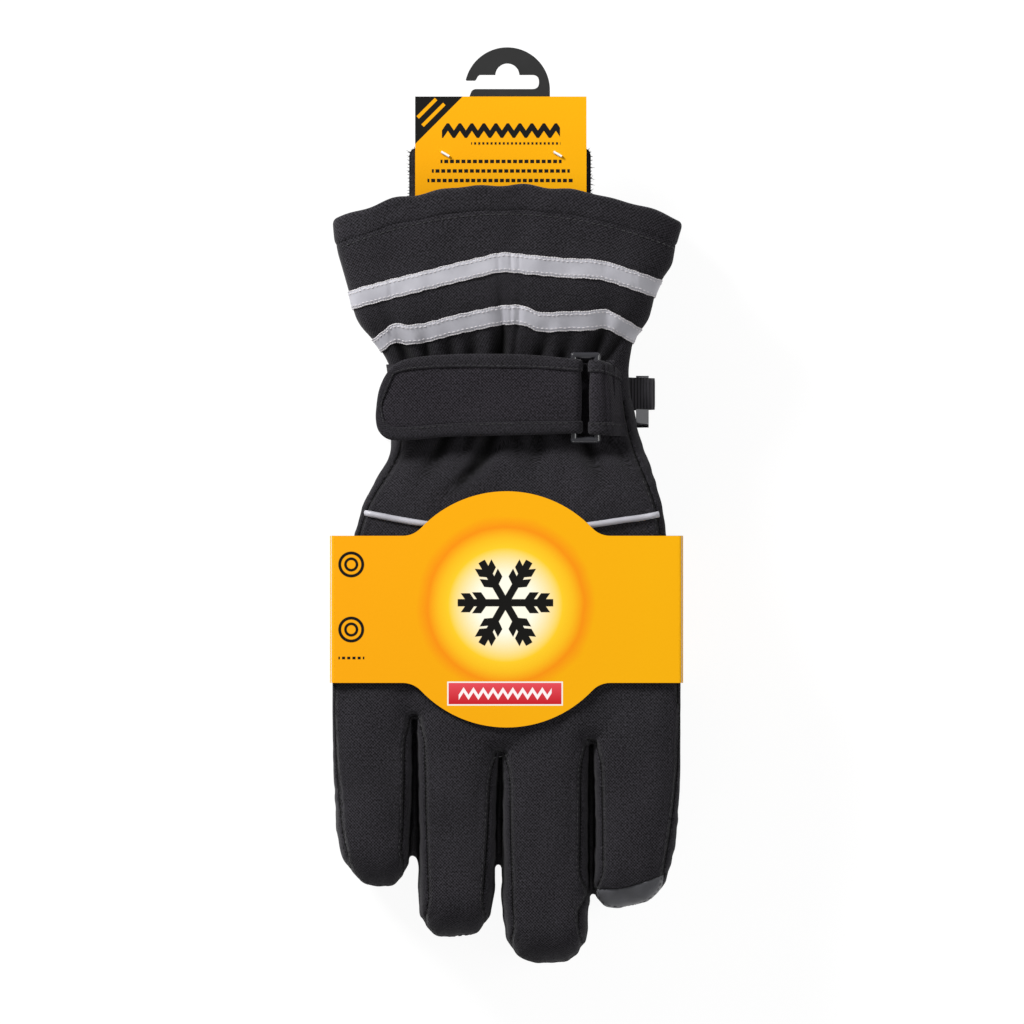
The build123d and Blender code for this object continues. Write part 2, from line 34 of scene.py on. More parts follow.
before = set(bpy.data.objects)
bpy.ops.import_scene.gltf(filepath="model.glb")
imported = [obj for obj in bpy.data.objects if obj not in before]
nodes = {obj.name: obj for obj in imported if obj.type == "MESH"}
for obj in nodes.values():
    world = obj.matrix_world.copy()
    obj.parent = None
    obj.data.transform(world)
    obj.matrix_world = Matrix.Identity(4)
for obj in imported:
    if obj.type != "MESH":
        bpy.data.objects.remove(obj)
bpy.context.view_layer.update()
mm = 0.001
dice = np.random.default_rng(7)
sleeveLow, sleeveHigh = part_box("band_sleeve")
middle = (sleeveLow[2] + sleeveHigh[2]) / 2 / mm      # height of the plane between the gloves
sides = {"right": 1, "left": -1}                       # the right glove lies above that plane


def span(node):
    # a node's box in millimetres, heights from the plane between the gloves
    low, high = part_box(node)
    return np.array([low, high]) / mm - np.array([0, 0, middle])


# Meshes from arrays of points
def gridFaces(rows, cols, closedRows=False, closedCols=False):
    # four-sided faces between neighbouring rows and columns of a grid of points
    r = np.arange(rows if closedRows else rows - 1)
    c = np.arange(cols if closedCols else cols - 1)
    r, c = np.meshgrid(r, c, indexing="ij")
    r2, c2 = (r + 1) % rows, (c + 1) % cols
    return np.stack([r * cols + c, r * cols + c2, r2 * cols + c2, r2 * cols + c], -1).reshape(-1, 4)


def tube(rings):
    # rings is (rows, cols, 3): a skin over closed rings, each end drawn together to a point
    rows, cols = rings.shape[:2]
    around = np.arange(cols)
    after, last = (around + 1) % cols, (rows - 1) * cols
    faces = gridFaces(rows, cols, closedCols=True).tolist()
    faces += np.stack([after, around, np.full(cols, rows * cols)], -1).tolist()
    faces += np.stack([last + around, last + after, np.full(cols, rows * cols + 1)], -1).tolist()
    return np.concatenate([rings.reshape(-1, 3), [rings[0].mean(0), rings[-1].mean(0)]]), faces


def joined(parts):
    # several sets of points and faces as one set
    points, faces, count = [], [], 0
    for somePoints, someFaces in parts:
        points.append(somePoints)
        faces += [[i + count for i in face] for face in someFaces]
        count += len(somePoints)
    return np.concatenate(points), faces


def meshOf(name, points, faces, uv=None):
    mesh = bpy.data.meshes.new(name)
    mesh.from_pydata((np.asarray(points) * mm).tolist(), [], [list(map(int, f)) for f in faces])
    mesh.polygons.foreach_set("use_smooth", np.ones(len(mesh.polygons), bool))
    if uv is not None:
        layer = mesh.uv_layers.new(name="cloth")
        corners = np.zeros(len(mesh.loops), np.int32)
        mesh.loops.foreach_get("vertex_index", corners)
        layer.data.foreach_set("uv", np.asarray(uv, float)[corners].ravel())
    mesh.update()
    return mesh


def link(thing):
    bpy.context.scene.collection.objects.link(thing)
    return thing


def settle(thing, settings):
    for key, value in settings.items():
        setattr(thing, key, value)


def stand(name, mesh, finish, body="pair", hidden=()):
    # a finished piece: dressed, riding on its body and standing for its CAD nodes
    piece = link(bpy.data.objects.new(name, mesh))
    slotName, material = finishes[finish]
    piece.data.materials.clear()
    piece.data.materials.append(material)
    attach(piece, body)
    if hidden:
        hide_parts(*hidden)
    return piece


def outward(points, faces):
    # faces turned so that the enclosed volume is positive
    corners = np.asarray([face[:3] for face in faces])
    a, b, c = (np.asarray(points)[corners[:, i]] for i in range(3))
    weight = np.asarray([len(face) - 2 for face in faces])
    volume = (np.einsum("ij,ij->i", a, np.cross(b, c)) * weight).sum()
    return faces if volume > 0 else [list(face)[::-1] for face in faces]


def onBoth(name, shape, finish, body="pair", fill=None):
    # the piece on the right glove, and its mirror image on the left one, each for the node of
    # its name where there is one; a shape is points, faces and perhaps cloth coordinates
    points, faces, uv = (*shape, None)[:3]
    faces = outward(points, faces)
    made = []
    for side, sign in sides.items():
        node = f"{side}_{name}"
        placed = np.asarray(points) * [1, 1, sign] + [0, 0, middle]
        turned = faces if sign > 0 else [list(face)[::-1] for face in faces]
        hidden = [node] if node in nodes else []
        mesh = meshOf(node, placed, turned, uv)
        made.append(stand(f"{node}_cloth", mesh, finish, body.format(side=side), hidden))
    return made


def unit(vectors):
    # the same directions, one long
    return vectors / np.maximum(np.linalg.norm(vectors, axis=-1, keepdims=True), 1e-9)


def runAlong(line):
    # the distance covered at each place on a line
    return np.concatenate([[0], np.cumsum(np.linalg.norm(np.diff(line, axis=0), axis=1))])


def placesAt(at, run, values):
    # a line's values at given distances along it
    return np.stack([np.interp(at, run, column) for column in values.T], -1)


def smoothed(levels, values, at):
    # a curve through stations with no corners: cubic pieces with finite-difference slopes
    levels, values, at = np.asarray(levels, float), np.asarray(values, float), np.asarray(at, float)
    slopes = np.gradient(values, levels)
    i = np.clip(np.searchsorted(levels, at) - 1, 0, len(levels) - 2)
    step = levels[i + 1] - levels[i]
    t = np.clip((at - levels[i]) / step, 0, 1)
    return (
        (2 * t**3 - 3 * t**2 + 1) * values[i]
        + (t**3 - 2 * t**2 + t) * step * slopes[i]
        + (3 * t**2 - 2 * t**3) * values[i + 1]
        + (t**3 - t**2) * step * slopes[i + 1]
    )


def ramp(value, start, stop):
    # 0 before start, 1 after stop, easing between
    t = np.clip((value - start) / (stop - start), 0, 1)
    return t * t * (3 - 2 * t)


def bell(value, width):
    # 1 at nought, falling away over the width: exp(-(value / width)^2)
    return np.exp(-((value / width) ** 2))


def evened(values, reach):
    # a running mean over a number of neighbours on each side
    return np.convolve(np.pad(values, reach, "edge"), np.ones(2 * reach + 1) / (2 * reach + 1), "valid")


def squircle(angle, power):
    # a rounded box round nought: |c|^power + |s|^power = 1
    c, s = np.cos(angle), np.sin(angle)
    return np.sign(c) * np.abs(c) ** (2 / power), np.sign(s) * np.abs(s) ** (2 / power)


def thereAndBack(count):
    # from one edge to the other over the upper face, then back over the lower one
    return np.concatenate([np.linspace(-1, 1, count), np.linspace(1, -1, count)])


def strip(place, along, across, rise):
    # a closed strip of cloth along a path, with cloth coordinates
    along = np.broadcast_to(along[:, None], across.shape)
    points, faces = tube(place(along, across, rise))
    uv = np.stack([along, across], -1).reshape(-1, 2)
    return points, faces, np.concatenate([uv, uv[[0, -1]]])


def ripple(x, y, size, seed):
    # gentle unevenness: a sum of slanted waves of about the given size
    waves = np.random.default_rng(seed)
    total = np.zeros(np.broadcast(x, y).shape)
    draws = (waves.uniform(low, high, 9) for low, high in ((0, np.pi), (0, 6.3), (0.6, 1.7)))
    for turn, phase, stretch in zip(*draws):
        total += np.sin((x * np.cos(turn) + y * np.sin(turn)) * 2 * np.pi / (size * stretch) + phase)
    return total / 3


def folds(x, y, valleys):
    # valleys that start at a level and fade: (x, level, lean, width, depth, reach)
    total = np.zeros(np.broadcast(x, y).shape)
    for x0, level, lean, width, depth, reach in valleys:
        along = (y - level) / reach
        across = (x - x0 - lean * (y - level)) / (width * (1 + 0.5 * np.abs(along)))
        total -= depth * np.exp(-across**2 - np.abs(along) ** 1.6)
    return total


def foldShadeOf(x, y, valleys):
    # how deep in a fold a place is, none to one: how much painted shade the fold gets
    return np.clip(-folds(x, y, valleys) / 2.4, 0, 1)


def marked(piece, name, values):
    # one number per point, for the finishes
    piece.data.attributes.new(name, "FLOAT", "POINT").data.foreach_set("value", values)


# Finishes
def ink(code):
    # a colour as written on a swatch, made linear for the shader
    value = np.array([int(code[i : i + 2], 16) / 255 for i in (0, 2, 4)])
    linear = np.where(value <= 0.04045, value / 12.92, ((value + 0.055) / 1.055) ** 2.4)
    return (*linear.tolist(), 1.0)


class Wire:
    # a shader socket that takes part in plain arithmetic
    def __init__(self, finish, socket):
        self.finish, self.socket = finish, socket

    def maths(self, operation, *values):
        return self.finish.node("ShaderNodeMath", {"operation": operation}, dict(enumerate(values)))

    def __add__(self, other):
        return self.maths("ADD", self, other)

    def __sub__(self, other):
        return self.maths("SUBTRACT", self, other)

    def __rsub__(self, other):
        return self.maths("SUBTRACT", other, self)

    def __mul__(self, other):
        return self.maths("MULTIPLY", self, other)

    def __truediv__(self, other):
        return self.maths("DIVIDE", self, other)

    __radd__, __rmul__ = __add__, __mul__

    def sine(self):
        return self.maths("SINE", self)

    def size(self):
        return self.maths("ABSOLUTE", self)

    def least(self, other):
        return self.maths("MINIMUM", self, other)

    def most(self, other):
        return self.maths("MAXIMUM", self, other)

    def above(self, edge, soft):
        # 0 below the edge and 1 above it, over a soft width
        settings = {"operation": "MULTIPLY_ADD", "use_clamp": True}
        return self.finish.node("ShaderNodeMath", settings, {0: self - edge, 1: 1 / soft, 2: 0.5})

    def below(self, edge, soft):
        return 1 - self.above(edge, soft)


class Finish:
    # one material under construction
    def __init__(self, name, roughness=0.9, **constants):
        self.material = bpy.data.materials.new(name)
        self.material.use_nodes = True
        self.tree = self.material.node_tree
        self.shader = self.tree.nodes["Principled BSDF"]
        self.shader.inputs["Roughness"].default_value = roughness
        for key, value in constants.items():
            self.shader.inputs[key.replace("_", " ")].default_value = value

    def node(self, kind, settings, inputs, out=0):
        made = self.tree.nodes.new(kind)
        settle(made, settings)
        for key, value in inputs.items():
            if isinstance(value, Wire):
                self.tree.links.new(value.socket, made.inputs[key])
            else:
                made.inputs[key].default_value = value
        return Wire(self, made.outputs[out])

    def place(self):
        # object coordinates in millimetres
        spot = self.node("ShaderNodeTexCoord", {}, {}, "Object")
        return self.node("ShaderNodeVectorMath", {"operation": "SCALE"}, {0: spot, "Scale": 1 / mm})

    def cloth(self):
        # the piece's own cloth coordinates, in millimetres along and across the weave
        return self.node("ShaderNodeUVMap", {"uv_map": "cloth"}, {})

    def parts(self, vector):
        return [self.node("ShaderNodeSeparateXYZ", {}, {0: vector}, axis) for axis in range(3)]

    def mark(self, name):
        # a number kept on each point of the piece
        return self.node("ShaderNodeAttribute", {"attribute_name": name}, {}, "Fac")

    def noise(self, vector, scale, detail=3.0):
        return self.node("ShaderNodeTexNoise", {}, {"Vector": vector, "Scale": scale, "Detail": detail})

    def mix(self, factor, first, second):
        return self.node("ShaderNodeMix", {"data_type": "RGBA"}, {0: factor, 6: first, 7: second}, 2)

    def feed(self, **wires):
        for key, wire in wires.items():
            self.tree.links.new(wire.socket, self.shader.inputs[key.replace("_", " ")])

    def bump(self, height, distance, strength=1.0):
        inputs = {"Height": height, "Distance": distance * mm, "Strength": strength}
        self.feed(Normal=self.node("ShaderNodeBump", {}, inputs))

    def dyed(self, tone, dark, pale, height, relief, strength=1.0):
        # colour between two dyes by one pattern, relief by another
        self.feed(Base_Color=self.mix(tone, ink(dark), ink(pale)))
        self.bump(height, relief, strength)
        return self.material


twillLook = {"thread": 0.8, "slant": 0.94, "relief": 0.12}


def twill(name, colour, fleck, relief=1.0, seamShaded=False):
    # fine diagonal weave with tiny pale flecks and slow cloudy variation, and painted shade that darkens the
    # folds and, where asked, the seams' grooves
    cloth = Finish(name, roughness=0.92, Sheen_Weight=0.08, Sheen_Roughness=0.5, Specular_IOR_Level=0.12)
    uv = cloth.cloth()
    u, v, _ = cloth.parts(uv)
    turn = 2 * np.pi / twillLook["thread"] / 1.42
    rib = ((u + v) * turn).sine()
    cross = ((u - v * twillLook["slant"]) * turn).sine()
    weave = rib * 0.55 + cross * 0.45
    cloud = cloth.noise(cloth.place(), 0.05, 4.0)
    grain = cloth.noise(uv, 1.3, 2.0)
    tone = (weave * 0.4 + grain * 1.7 + cloud * 0.3 - 1.03).above(0.0, 0.82)
    shade = cloth.mix(tone, ink(colour), ink(fleck))
    # painted shade: the colour darkens towards black where the folds are deep
    shade = cloth.mix(cloth.mark("foldShade") * 0.85, shade, ink("030303"))
    if seamShaded:                                     # painted shade: a dark line in the groove where the panels are sewn together
        shade = cloth.mix(cloth.mark("seam").below(0.3, 0.3) * 0.85, shade, ink("050505"))
    cloth.feed(Base_Color=shade)
    cloth.bump(weave * 0.5 + grain * 0.8, twillLook["relief"] * relief)
    return cloth.material


def plushPile(name, colour, tipColour):
    # soft pile: clumped noise with paler tips
    pile = Finish(name, roughness=0.98, Sheen_Weight=0.2, Sheen_Roughness=0.35, Specular_IOR_Level=0.1)
    spot = pile.place()
    clump, tuft = pile.noise(spot, 0.55, 4.0), pile.noise(spot, 2.4, 2.0)
    height = clump * 0.6 + tuft * 0.6
    return pile.dyed(height.above(0.62, 0.5), colour, tipColour, height, 0.7)


def reflective(name):
    # silver tape: faint honeycomb of beads, cloudy satin tone
    tape = Finish(name, roughness=0.42, Specular_IOR_Level=0.6)
    uv = tape.cloth()
    u, v, _ = tape.parts(uv)
    turn = 2 * np.pi / 0.9
    beads = ((u * turn).sine() * (v * turn).sine()).size()
    cloud = tape.noise(tape.place(), 0.11, 4.0)
    tone = (cloud * 1.1 + beads * 0.08 - 0.1).above(0.5, 0.9)
    tape.feed(Roughness=cloud * 0.2 + 0.34)
    return tape.dyed(tone, "9a99a0", "bab9c0", beads * 0.3 + cloud * 0.6, 0.08)


def smoothFabric(name):
    # coated fingertip fabric, faint pebble
    skin = Finish(name, roughness=0.55, Sheen_Weight=0.15, Specular_IOR_Level=0.4)
    spot = skin.place()
    pebble, cloud = skin.noise(spot, 2.2, 2.0), skin.noise(spot, 0.12, 3.0)
    return skin.dyed(cloud.above(0.5, 0.7), "3f3f43", "525257", pebble, 0.08)


def ribbed(name, colour, pale, pitch):
    # grosgrain: rounded ribs across the strip with a fine lengthwise thread
    web = Finish(name, roughness=0.8, Sheen_Weight=0.2, Specular_IOR_Level=0.3)
    u, v, _ = web.parts(web.cloth())
    height = (u * (np.pi / pitch)).sine().size() + (v * (2 * np.pi / 0.45)).sine() * 0.12
    return web.dyed(height.above(0.55, 0.9), colour, pale, height, 0.18)


def moulded(name, colour, roughness, coat=0.0, spec=0.5):
    # moulded plastic: faint flow marks and pinprick texture
    resin = Finish(name, roughness=roughness, Coat_Weight=coat, Coat_Roughness=0.12, Specular_IOR_Level=spec)
    spot = resin.place()
    flow, prick = resin.noise(spot, 0.09, 3.0), resin.noise(spot, 3.0, 2.0)
    base = ink(colour)
    pale = (*np.clip(np.array(base[:3]) * 1.3, 0, 1).tolist(), 1.0)
    resin.feed(Base_Color=resin.mix(flow.above(0.5, 0.6), base, pale))
    resin.feed(Roughness=flow * 0.12 + (roughness - 0.06))
    resin.bump(prick, 0.02, 0.5)
    return resin.material


def polishedSteel(name):
    # bright metal, faintly brushed along its length
    steel = Finish(name, roughness=0.16, Metallic=1.0)
    spot = steel.node("ShaderNodeMapping", {}, {"Vector": steel.place(), "Scale": (6.0, 0.25, 0.25)})
    brush = steel.noise(spot, 1.2, 3.0)
    steel.feed(Roughness=brush * 0.14 + 0.1)
    return steel.dyed(brush, "b4b4b8", "d4d4d8", brush, 0.01, 0.5)


def pileTape(name):
    # hook or loop tape: rows of tufts in a fine fuzz
    hooks = Finish(name, roughness=0.95, Sheen_Weight=0.3, Specular_IOR_Level=0.15)
    spot = hooks.place()
    x, y, _ = hooks.parts(spot)
    rows = (x * 4.5).sine() * (y * 4.5).sine()
    fuzz = hooks.noise(spot, 1.9, 3.0)
    return hooks.dyed((rows * 0.3 + fuzz).above(0.5, 0.8), "151416", "2b2a2d", rows * 0.5 + fuzz, 0.35)


def flecked(name, colour, pale, scale, detail, relief, **constants):
    # one noise for both colour and relief: twisted thread, or wadding
    fibre = Finish(name, **constants)
    fleck = fibre.noise(fibre.place(), scale, detail)
    return fibre.dyed(fleck, colour, pale, fleck, relief)


def thread(name, colour, pale):
    return flecked(name, colour, pale, 5.0, 2.0, 0.05, roughness=0.75, Sheen_Weight=0.2)


darkThread = thread("dark_thread", "0b0a0c", "1c1b1e")
wadding = flecked("wadding", "bdbdb8", "e4e4e0", 0.35, 5.0, 0.9, roughness=0.97, Sheen_Weight=0.4)
# each finish under a short name: its slot and its material
finishes = {
    "shell": ("shell_twill", twill("shell_twill", "0d0c0e", "363439", seamShaded=True)),
    "cuff": ("shell_twill", twill("cuff_twill", "0c0b0d", "343237")),
    "strap": ("strap_twill", twill("strap_twill", "0d0b0e", "353238", 1.4)),
    "binding": ("binding", twill("binding_tape", "100f11", "323035", 0.7)),
    "plush": ("plush", plushPile("plush", "161517", "353338")),
    "wadding": ("wadding", wadding),
    "tape": ("reflective", reflective("reflective")),
    "tip": ("touch_fabric", smoothFabric("touch_fabric")),
    "elastic": ("elastic", ribbed("elastic", "19191b", "2c2c2f", 1.4)),
    "webbing": ("webbing", ribbed("webbing", "18171a", "333136", 1.15)),
    "hook": ("hook_plastic", moulded("hook_plastic", "282828", 0.6, spec=0.2)),
    "hookAndLoop": ("hook_and_loop", pileTape("hook_and_loop")),
    "shellThread": ("shell_twill", darkThread),
    "bindingThread": ("binding", darkThread),
    "tapeThread": ("reflective", thread("pale_thread", "b5b1b4", "dcd8da")),
}
print("finishes ready")


# Padded hands
# Each finger: its edges level with the knuckles, the same edges at the tip, the tip's level,
# the length of its rounding, how blunt it is and how far its point leans.
fingerLook = {
    "edges": [(-64.4, -34.0), (-33.2, -2.4), (-1.9, 30.5), (31.6, 65.2)],
    "tipEdges": [(-59.4, -35.2), (-31.0, -6.8), (0.6, 29.2), (32.4, 56.6)],
    "tips": [-139.2, -158.0, -167.4, -147.0],
    "rounding": [24.0, 15.0, 16.0, 11.0],
    "bluntness": [2.5, 2.7, 2.9, 2.3],
    "closing": [(1.8, 1.5), (1.8, 2.0), (3.5, 1.8), (1.8, 1.8)],
    "lean": [1.2, 0.3, -0.1, -3.0],
    "start": -72.0,
    "root": -52.0,
    "roundness": 3.3,
    "taper": 17.0,
    "crotches": [(-33.7, -78.9), (-2.2, -91.8), (30.9, -87.8)],
}
handLook = {
    "levels": [-90, -71, -58, -45, -25, -8.4, -2.6, 3.3, 9.2, 15, 21, 27, 36, 46, 60],
    "left": [-64, -64.3, -64.1, -63.6, -58.6, -54.8, -53, -50.9, -48.2, -44.9, -42.2, -41.6, -41.8, -42.2, -44],
    "right": [64.4, 64.2, 64, 63.8, 61, 57.4, 56.6, 55.5, 54.1, 52, 49.6, 47.8, 46.2, 45, 44.4],
    "topLevels": [-170, -120, -60, -25, -8, 4, 13, 23, 36, 60],
    "top": [27, 27, 27, 27, 27, 26.6, 24.4, 21.4, 20.6, 20.6],
    "underLevels": [-170, -86, -77, -68, 6, 28, 60],
    "under": [0.5, 0.5, 6.5, 13, 13, 3.2, 3.2],
    "end": 40.0,
    "roundness": 2.9,
    "blunt": 2.4,
    "overlap": 9.0,
}


def handTop(level):
    return smoothed(handLook["topLevels"], handLook["top"], level)


def handUnder(level):
    return np.interp(level, handLook["underLevels"], handLook["under"])


def fingerEdges(i, level):
    # edges of a finger's straight part: they close in towards the tip
    start, tip = fingerLook["start"], fingerLook["tips"][i]
    share = np.clip((start - level) / (start - tip), 0, 1)
    (left, right), (tipLeft, tipRight) = fingerLook["edges"][i], fingerLook["tipEdges"][i]
    leftClosing, rightClosing = fingerLook["closing"][i]
    return left + (tipLeft - left) * share**leftClosing, right + (tipRight - right) * share**rightClosing


def ovalRing(centre, half, low, high, level, roundness, cols=44):
    # rounded-box rings across x between centre - half and centre + half, from low to high
    stations = (centre, half, low, high, level)
    centre, half, low, high, level = (np.asarray(values, float).reshape(-1, 1) for values in stations)
    c, s = squircle(np.linspace(0, 2 * np.pi, cols, endpoint=False), roundness)
    x = centre + half * c
    return np.stack([x, np.broadcast_to(level, x.shape), (low + high) / 2 + (high - low) / 2 * s], -1)


def between(under, top, thin):
    # the lowest and highest height of a form thinned about its middle
    mid = (top + under) / 2
    return mid - (mid - under) * thin, mid + (top - mid) * thin


def fingerTube(i, inset):
    # straight rows from the root, then a cap where width and thickness shrink as a blunt arc
    tip, reach, blunt = fingerLook["tips"][i] + inset, fingerLook["rounding"][i], fingerLook["bluntness"][i]
    cap = np.sin(np.linspace(0, np.pi / 2, 14)[1:]) ** (2 / blunt)
    level = np.concatenate([np.linspace(fingerLook["root"], tip + reach, 26), tip + reach * (1 - cap)])
    s = np.concatenate([np.zeros(26), cap])
    shrink = np.clip(1 - s**blunt, 1e-4, 1) ** (1 / blunt)
    # thickness over the last stretch: (1 - (1 - distance / taper)^2.3)^(1 / 2.3)
    thin = np.clip(1 - np.clip(1 - (level - tip) / fingerLook["taper"], 0, 1) ** 2.3, 2e-3, 1) ** (1 / 2.3)
    left, right = fingerEdges(i, level)
    centre = (left + right) / 2 + fingerLook["lean"][i] * s**2
    rise = 0.7 + 0.3 * ramp(fingerLook["root"] - level, 0, 16)
    half = ((right - left) / 2 - inset) * shrink * rise
    low, high = between(handUnder(level) + inset, handTop(level) - inset, thin * rise)
    return tube(ovalRing(centre, half, low, high, level, fingerLook["roundness"]))


def palmTube(inset):
    # from the wrist to the crotches between the fingers, ending in a blunt arc that follows them
    start, blunt, overlap = fingerLook["start"], handLook["blunt"], handLook["overlap"]
    cap = np.concatenate([np.zeros(40), np.sin(np.linspace(0, np.pi / 2, 10)[1:]) ** (2 / blunt)])
    level = np.concatenate([np.linspace(handLook["end"], start, 40), np.full(9, start)])
    left, right = (smoothed(handLook["levels"], handLook[side], level) for side in ("left", "right"))
    thin = np.clip(1 - cap**blunt, 1e-3, 1) ** (1 / blunt)
    low, high = between(handUnder(level) + inset, handTop(level) - inset, thin)
    half = ((right - left) / 2 - inset) * (0.8 + 0.2 * thin)
    rings = ovalRing((left + right) / 2, half, low, high, level, handLook["roundness"], 90)
    crotches = [(-66, -76)] + fingerLook["crotches"] + [(66, -84)]
    end = smoothed(*zip(*crotches), rings[..., 0]) + inset + 1.0
    forward = np.clip(level / start, 0, 1).reshape(-1, 1)
    rings[..., 1] += (end + overlap - start) * forward**3 - overlap * cap.reshape(-1, 1)
    return tube(rings)


def handForm(inset):
    return joined([palmTube(inset)] + [fingerTube(i, inset) for i in range(4)])


def pointsOf(mesh):
    points = np.zeros(len(mesh.vertices) * 3)
    mesh.vertices.foreach_get("co", points)
    return points.reshape(-1, 3) / mm


def facesOf(mesh):
    corners = np.zeros(len(mesh.loops), np.int32)
    mesh.loops.foreach_get("vertex_index", corners)
    return corners.reshape(-1, 4)


def applied(mesh, kind, **settings):
    # a new mesh: the given one after a modifier
    carrier = link(bpy.data.objects.new("carrier", mesh))
    settle(carrier.modifiers.new("change", kind), settings)
    bpy.context.view_layer.update()
    made = bpy.data.meshes.new_from_object(carrier.evaluated_get(bpy.context.evaluated_depsgraph_get()))
    bpy.data.objects.remove(carrier)
    return made


rimStep = 0.5


def rimLine():
    # the glove's edge seen from above, as evenly spaced points from wrist to wrist
    level = np.linspace(handLook["end"], fingerLook["start"], 120)
    lines = [np.stack([smoothed(handLook["levels"], handLook["left"], level), level], -1)]
    starts = [fingerLook["start"], *(crotch[1] for crotch in fingerLook["crotches"]), fingerLook["start"]]
    for i, tip in enumerate(fingerLook["tips"]):
        reach, blunt = fingerLook["rounding"][i], fingerLook["bluntness"][i]
        cap = np.sin(np.linspace(0, np.pi / 2, 40)) ** (2 / blunt)
        shrink = np.clip(1 - cap**blunt, 0, 1) ** (1 / blunt)
        down, up = np.linspace(starts[i], tip + reach, 120), np.linspace(tip + reach, starts[i + 1], 120)
        bow = tip + reach * (1 - cap)
        left, right = fingerEdges(i, bow)
        centre = (left + right) / 2 + fingerLook["lean"][i] * cap**2
        half = (right - left) / 2 * shrink
        lines.append(np.stack([fingerEdges(i, down)[0], down], -1))
        lines.append(np.stack([centre - half, bow], -1))
        lines.append(np.stack([centre + half, bow], -1)[::-1])
        lines.append(np.stack([fingerEdges(i, up)[1], up], -1))
    lines.append(np.stack([smoothed(handLook["levels"], handLook["right"], level), level], -1)[::-1])
    line = np.concatenate(lines)
    run = runAlong(line)
    return placesAt(np.arange(0, run[-1], rimStep), run, line)


rim = rimLine()
rimAhead = unit(np.gradient(rim, axis=0))
rimInward = np.stack([-rimAhead[:, 1], rimAhead[:, 0]], -1)     # the glove lies to the left of its rim


def nearRim(points):
    # for each point seen from above: distance from the rim and the place along it, found for a
    # batch of points at a time as the rim's point with the least mark^2 - 2 * mark . point
    near, batch = np.zeros(len(points), np.int64), 4000
    flat = points[:, :2].astype(np.float32)
    marks = rim.astype(np.float32)
    square = (marks**2).sum(1)
    for start in range(0, len(flat), batch):
        some = flat[start : start + batch]
        near[start : start + batch] = (square - 2 * some @ marks.T).argmin(1)
    offset = points[:, :2] - rim[near]
    along = (offset * rimAhead[near]).sum(1)
    distance = np.sqrt(np.maximum((offset**2).sum(1) - np.minimum(np.abs(along), 0.25) ** 2, 0))
    inside = (offset * rimInward[near]).sum(1)
    return np.where(inside < -0.2, -distance, distance), near


# How far in the seam runs between the fingers, at the sides and at the tips; its groove, its
# puckers and the slots between fingers; how near a point is to be moved onto a cut; and the
# heights and levels where the back and the strips between the fingers start.
seamLook = {
    "inset": 3.3, "side": 1.7, "tip": -1.0, "groove": 0.5, "width": 0.6,
    "pucker": 0.14, "pitch": 5.2, "slot": 8.0, "slotWidth": 0.5,
    "snap": 0.62, "capSnap": 0.5, "backFrom": 13, "stripsFrom": -76,
}


def rimInsets():
    # how far inside the rim the seam runs: wide between the fingers, close to the edge at the tips
    # and sides; and where fingers lie side by side
    x, y = rim.T
    middles = np.mean(fingerLook["tipEdges"], axis=1)
    finger = np.argmin(np.abs(x[:, None] - middles), axis=1)
    slot = ramp(-y, 70, 78) * ((x > middles[0]) & (x < middles[3]))
    wide = seamLook["side"] + (seamLook["inset"] - seamLook["side"]) * (slot + ramp(y, -4, 14))
    free = ramp(y - np.array(fingerLook["tips"])[finger], 2.0, 13.0)
    inset = seamLook["tip"] + (wide - seamLook["tip"]) * free
    crotch = np.min([np.hypot(x - cx, y - cy) for cx, cy in fingerLook["crotches"]], axis=0)
    inset *= 1 - 0.6 * bell(crotch, 4.5)
    return evened(inset, 6), evened(slot * free, 6)


rimInset, rimSlot = rimInsets()
# folds as (x, level, lean, width, depth, reach)
handFolds = [
    (-6.5, 24, 0.5, 2.3, 3.4, 9), (-11, 14, 1, 2.6, 2, 9), (-23, 24, 0.5, 2.4, 2.8, 11),
    (-14, 25, 0.3, 2, 1.6, 8), (3, 25, -0.2, 2, 1.5, 8), (11, 25, 0, 2.6, 1.8, 10),
    (28.5, 23, -0.45, 2.4, 2.8, 10), (40, 22, -0.7, 3, 1.1, 14), (-36, 22, 0.8, 3, 1.1, 14),
]
palmFolds = [
    (-22, 24, 0.3, 4, 1.4, 12), (4, 24, -0.1, 4, 1.6, 13), (30, 24, -0.4, 4, 1.3, 12),
    (-10, -10, 2.2, 5, 1.3, 18),
]


def eased(value, limit, give, soft):
    # up to the limit as it is, then creeping at most give beyond it
    return np.where(value > limit, limit + give * np.tanh((value - limit) / soft), value)


# as (limit, give, soft), and the height that is kept over the plane between the gloves
clearLook = {"side": (62.8, 1.0, 1.6), "top": (27.0, 1.1, 1.4), "floor": 0.6, "least": 0.2}


def keepClear(points):
    # eased back inside the card sleeve's walls, which have to slide off over the fingers; under
    # the floor a height becomes least + gap * exp((height - floor) / gap), gap = floor - least
    points[:, 0] = np.sign(points[:, 0]) * eased(np.abs(points[:, 0]), *clearLook["side"])
    high, floor, least = eased(points[:, 2], *clearLook["top"]), clearLook["floor"], clearLook["least"]
    gap = floor - least
    points[:, 2] = np.where(high < floor, least + gap * np.exp(np.minimum(high - floor, 0) / gap), high)
    return points


puffLook = {
    "use_pressure": True, "uniform_pressure_force": 4.0, "vertex_group_mass": "seam", "quality": 4,
    "tension_stiffness": 12.0, "compression_stiffness": 12.0, "bending_stiffness": 0.6,
}


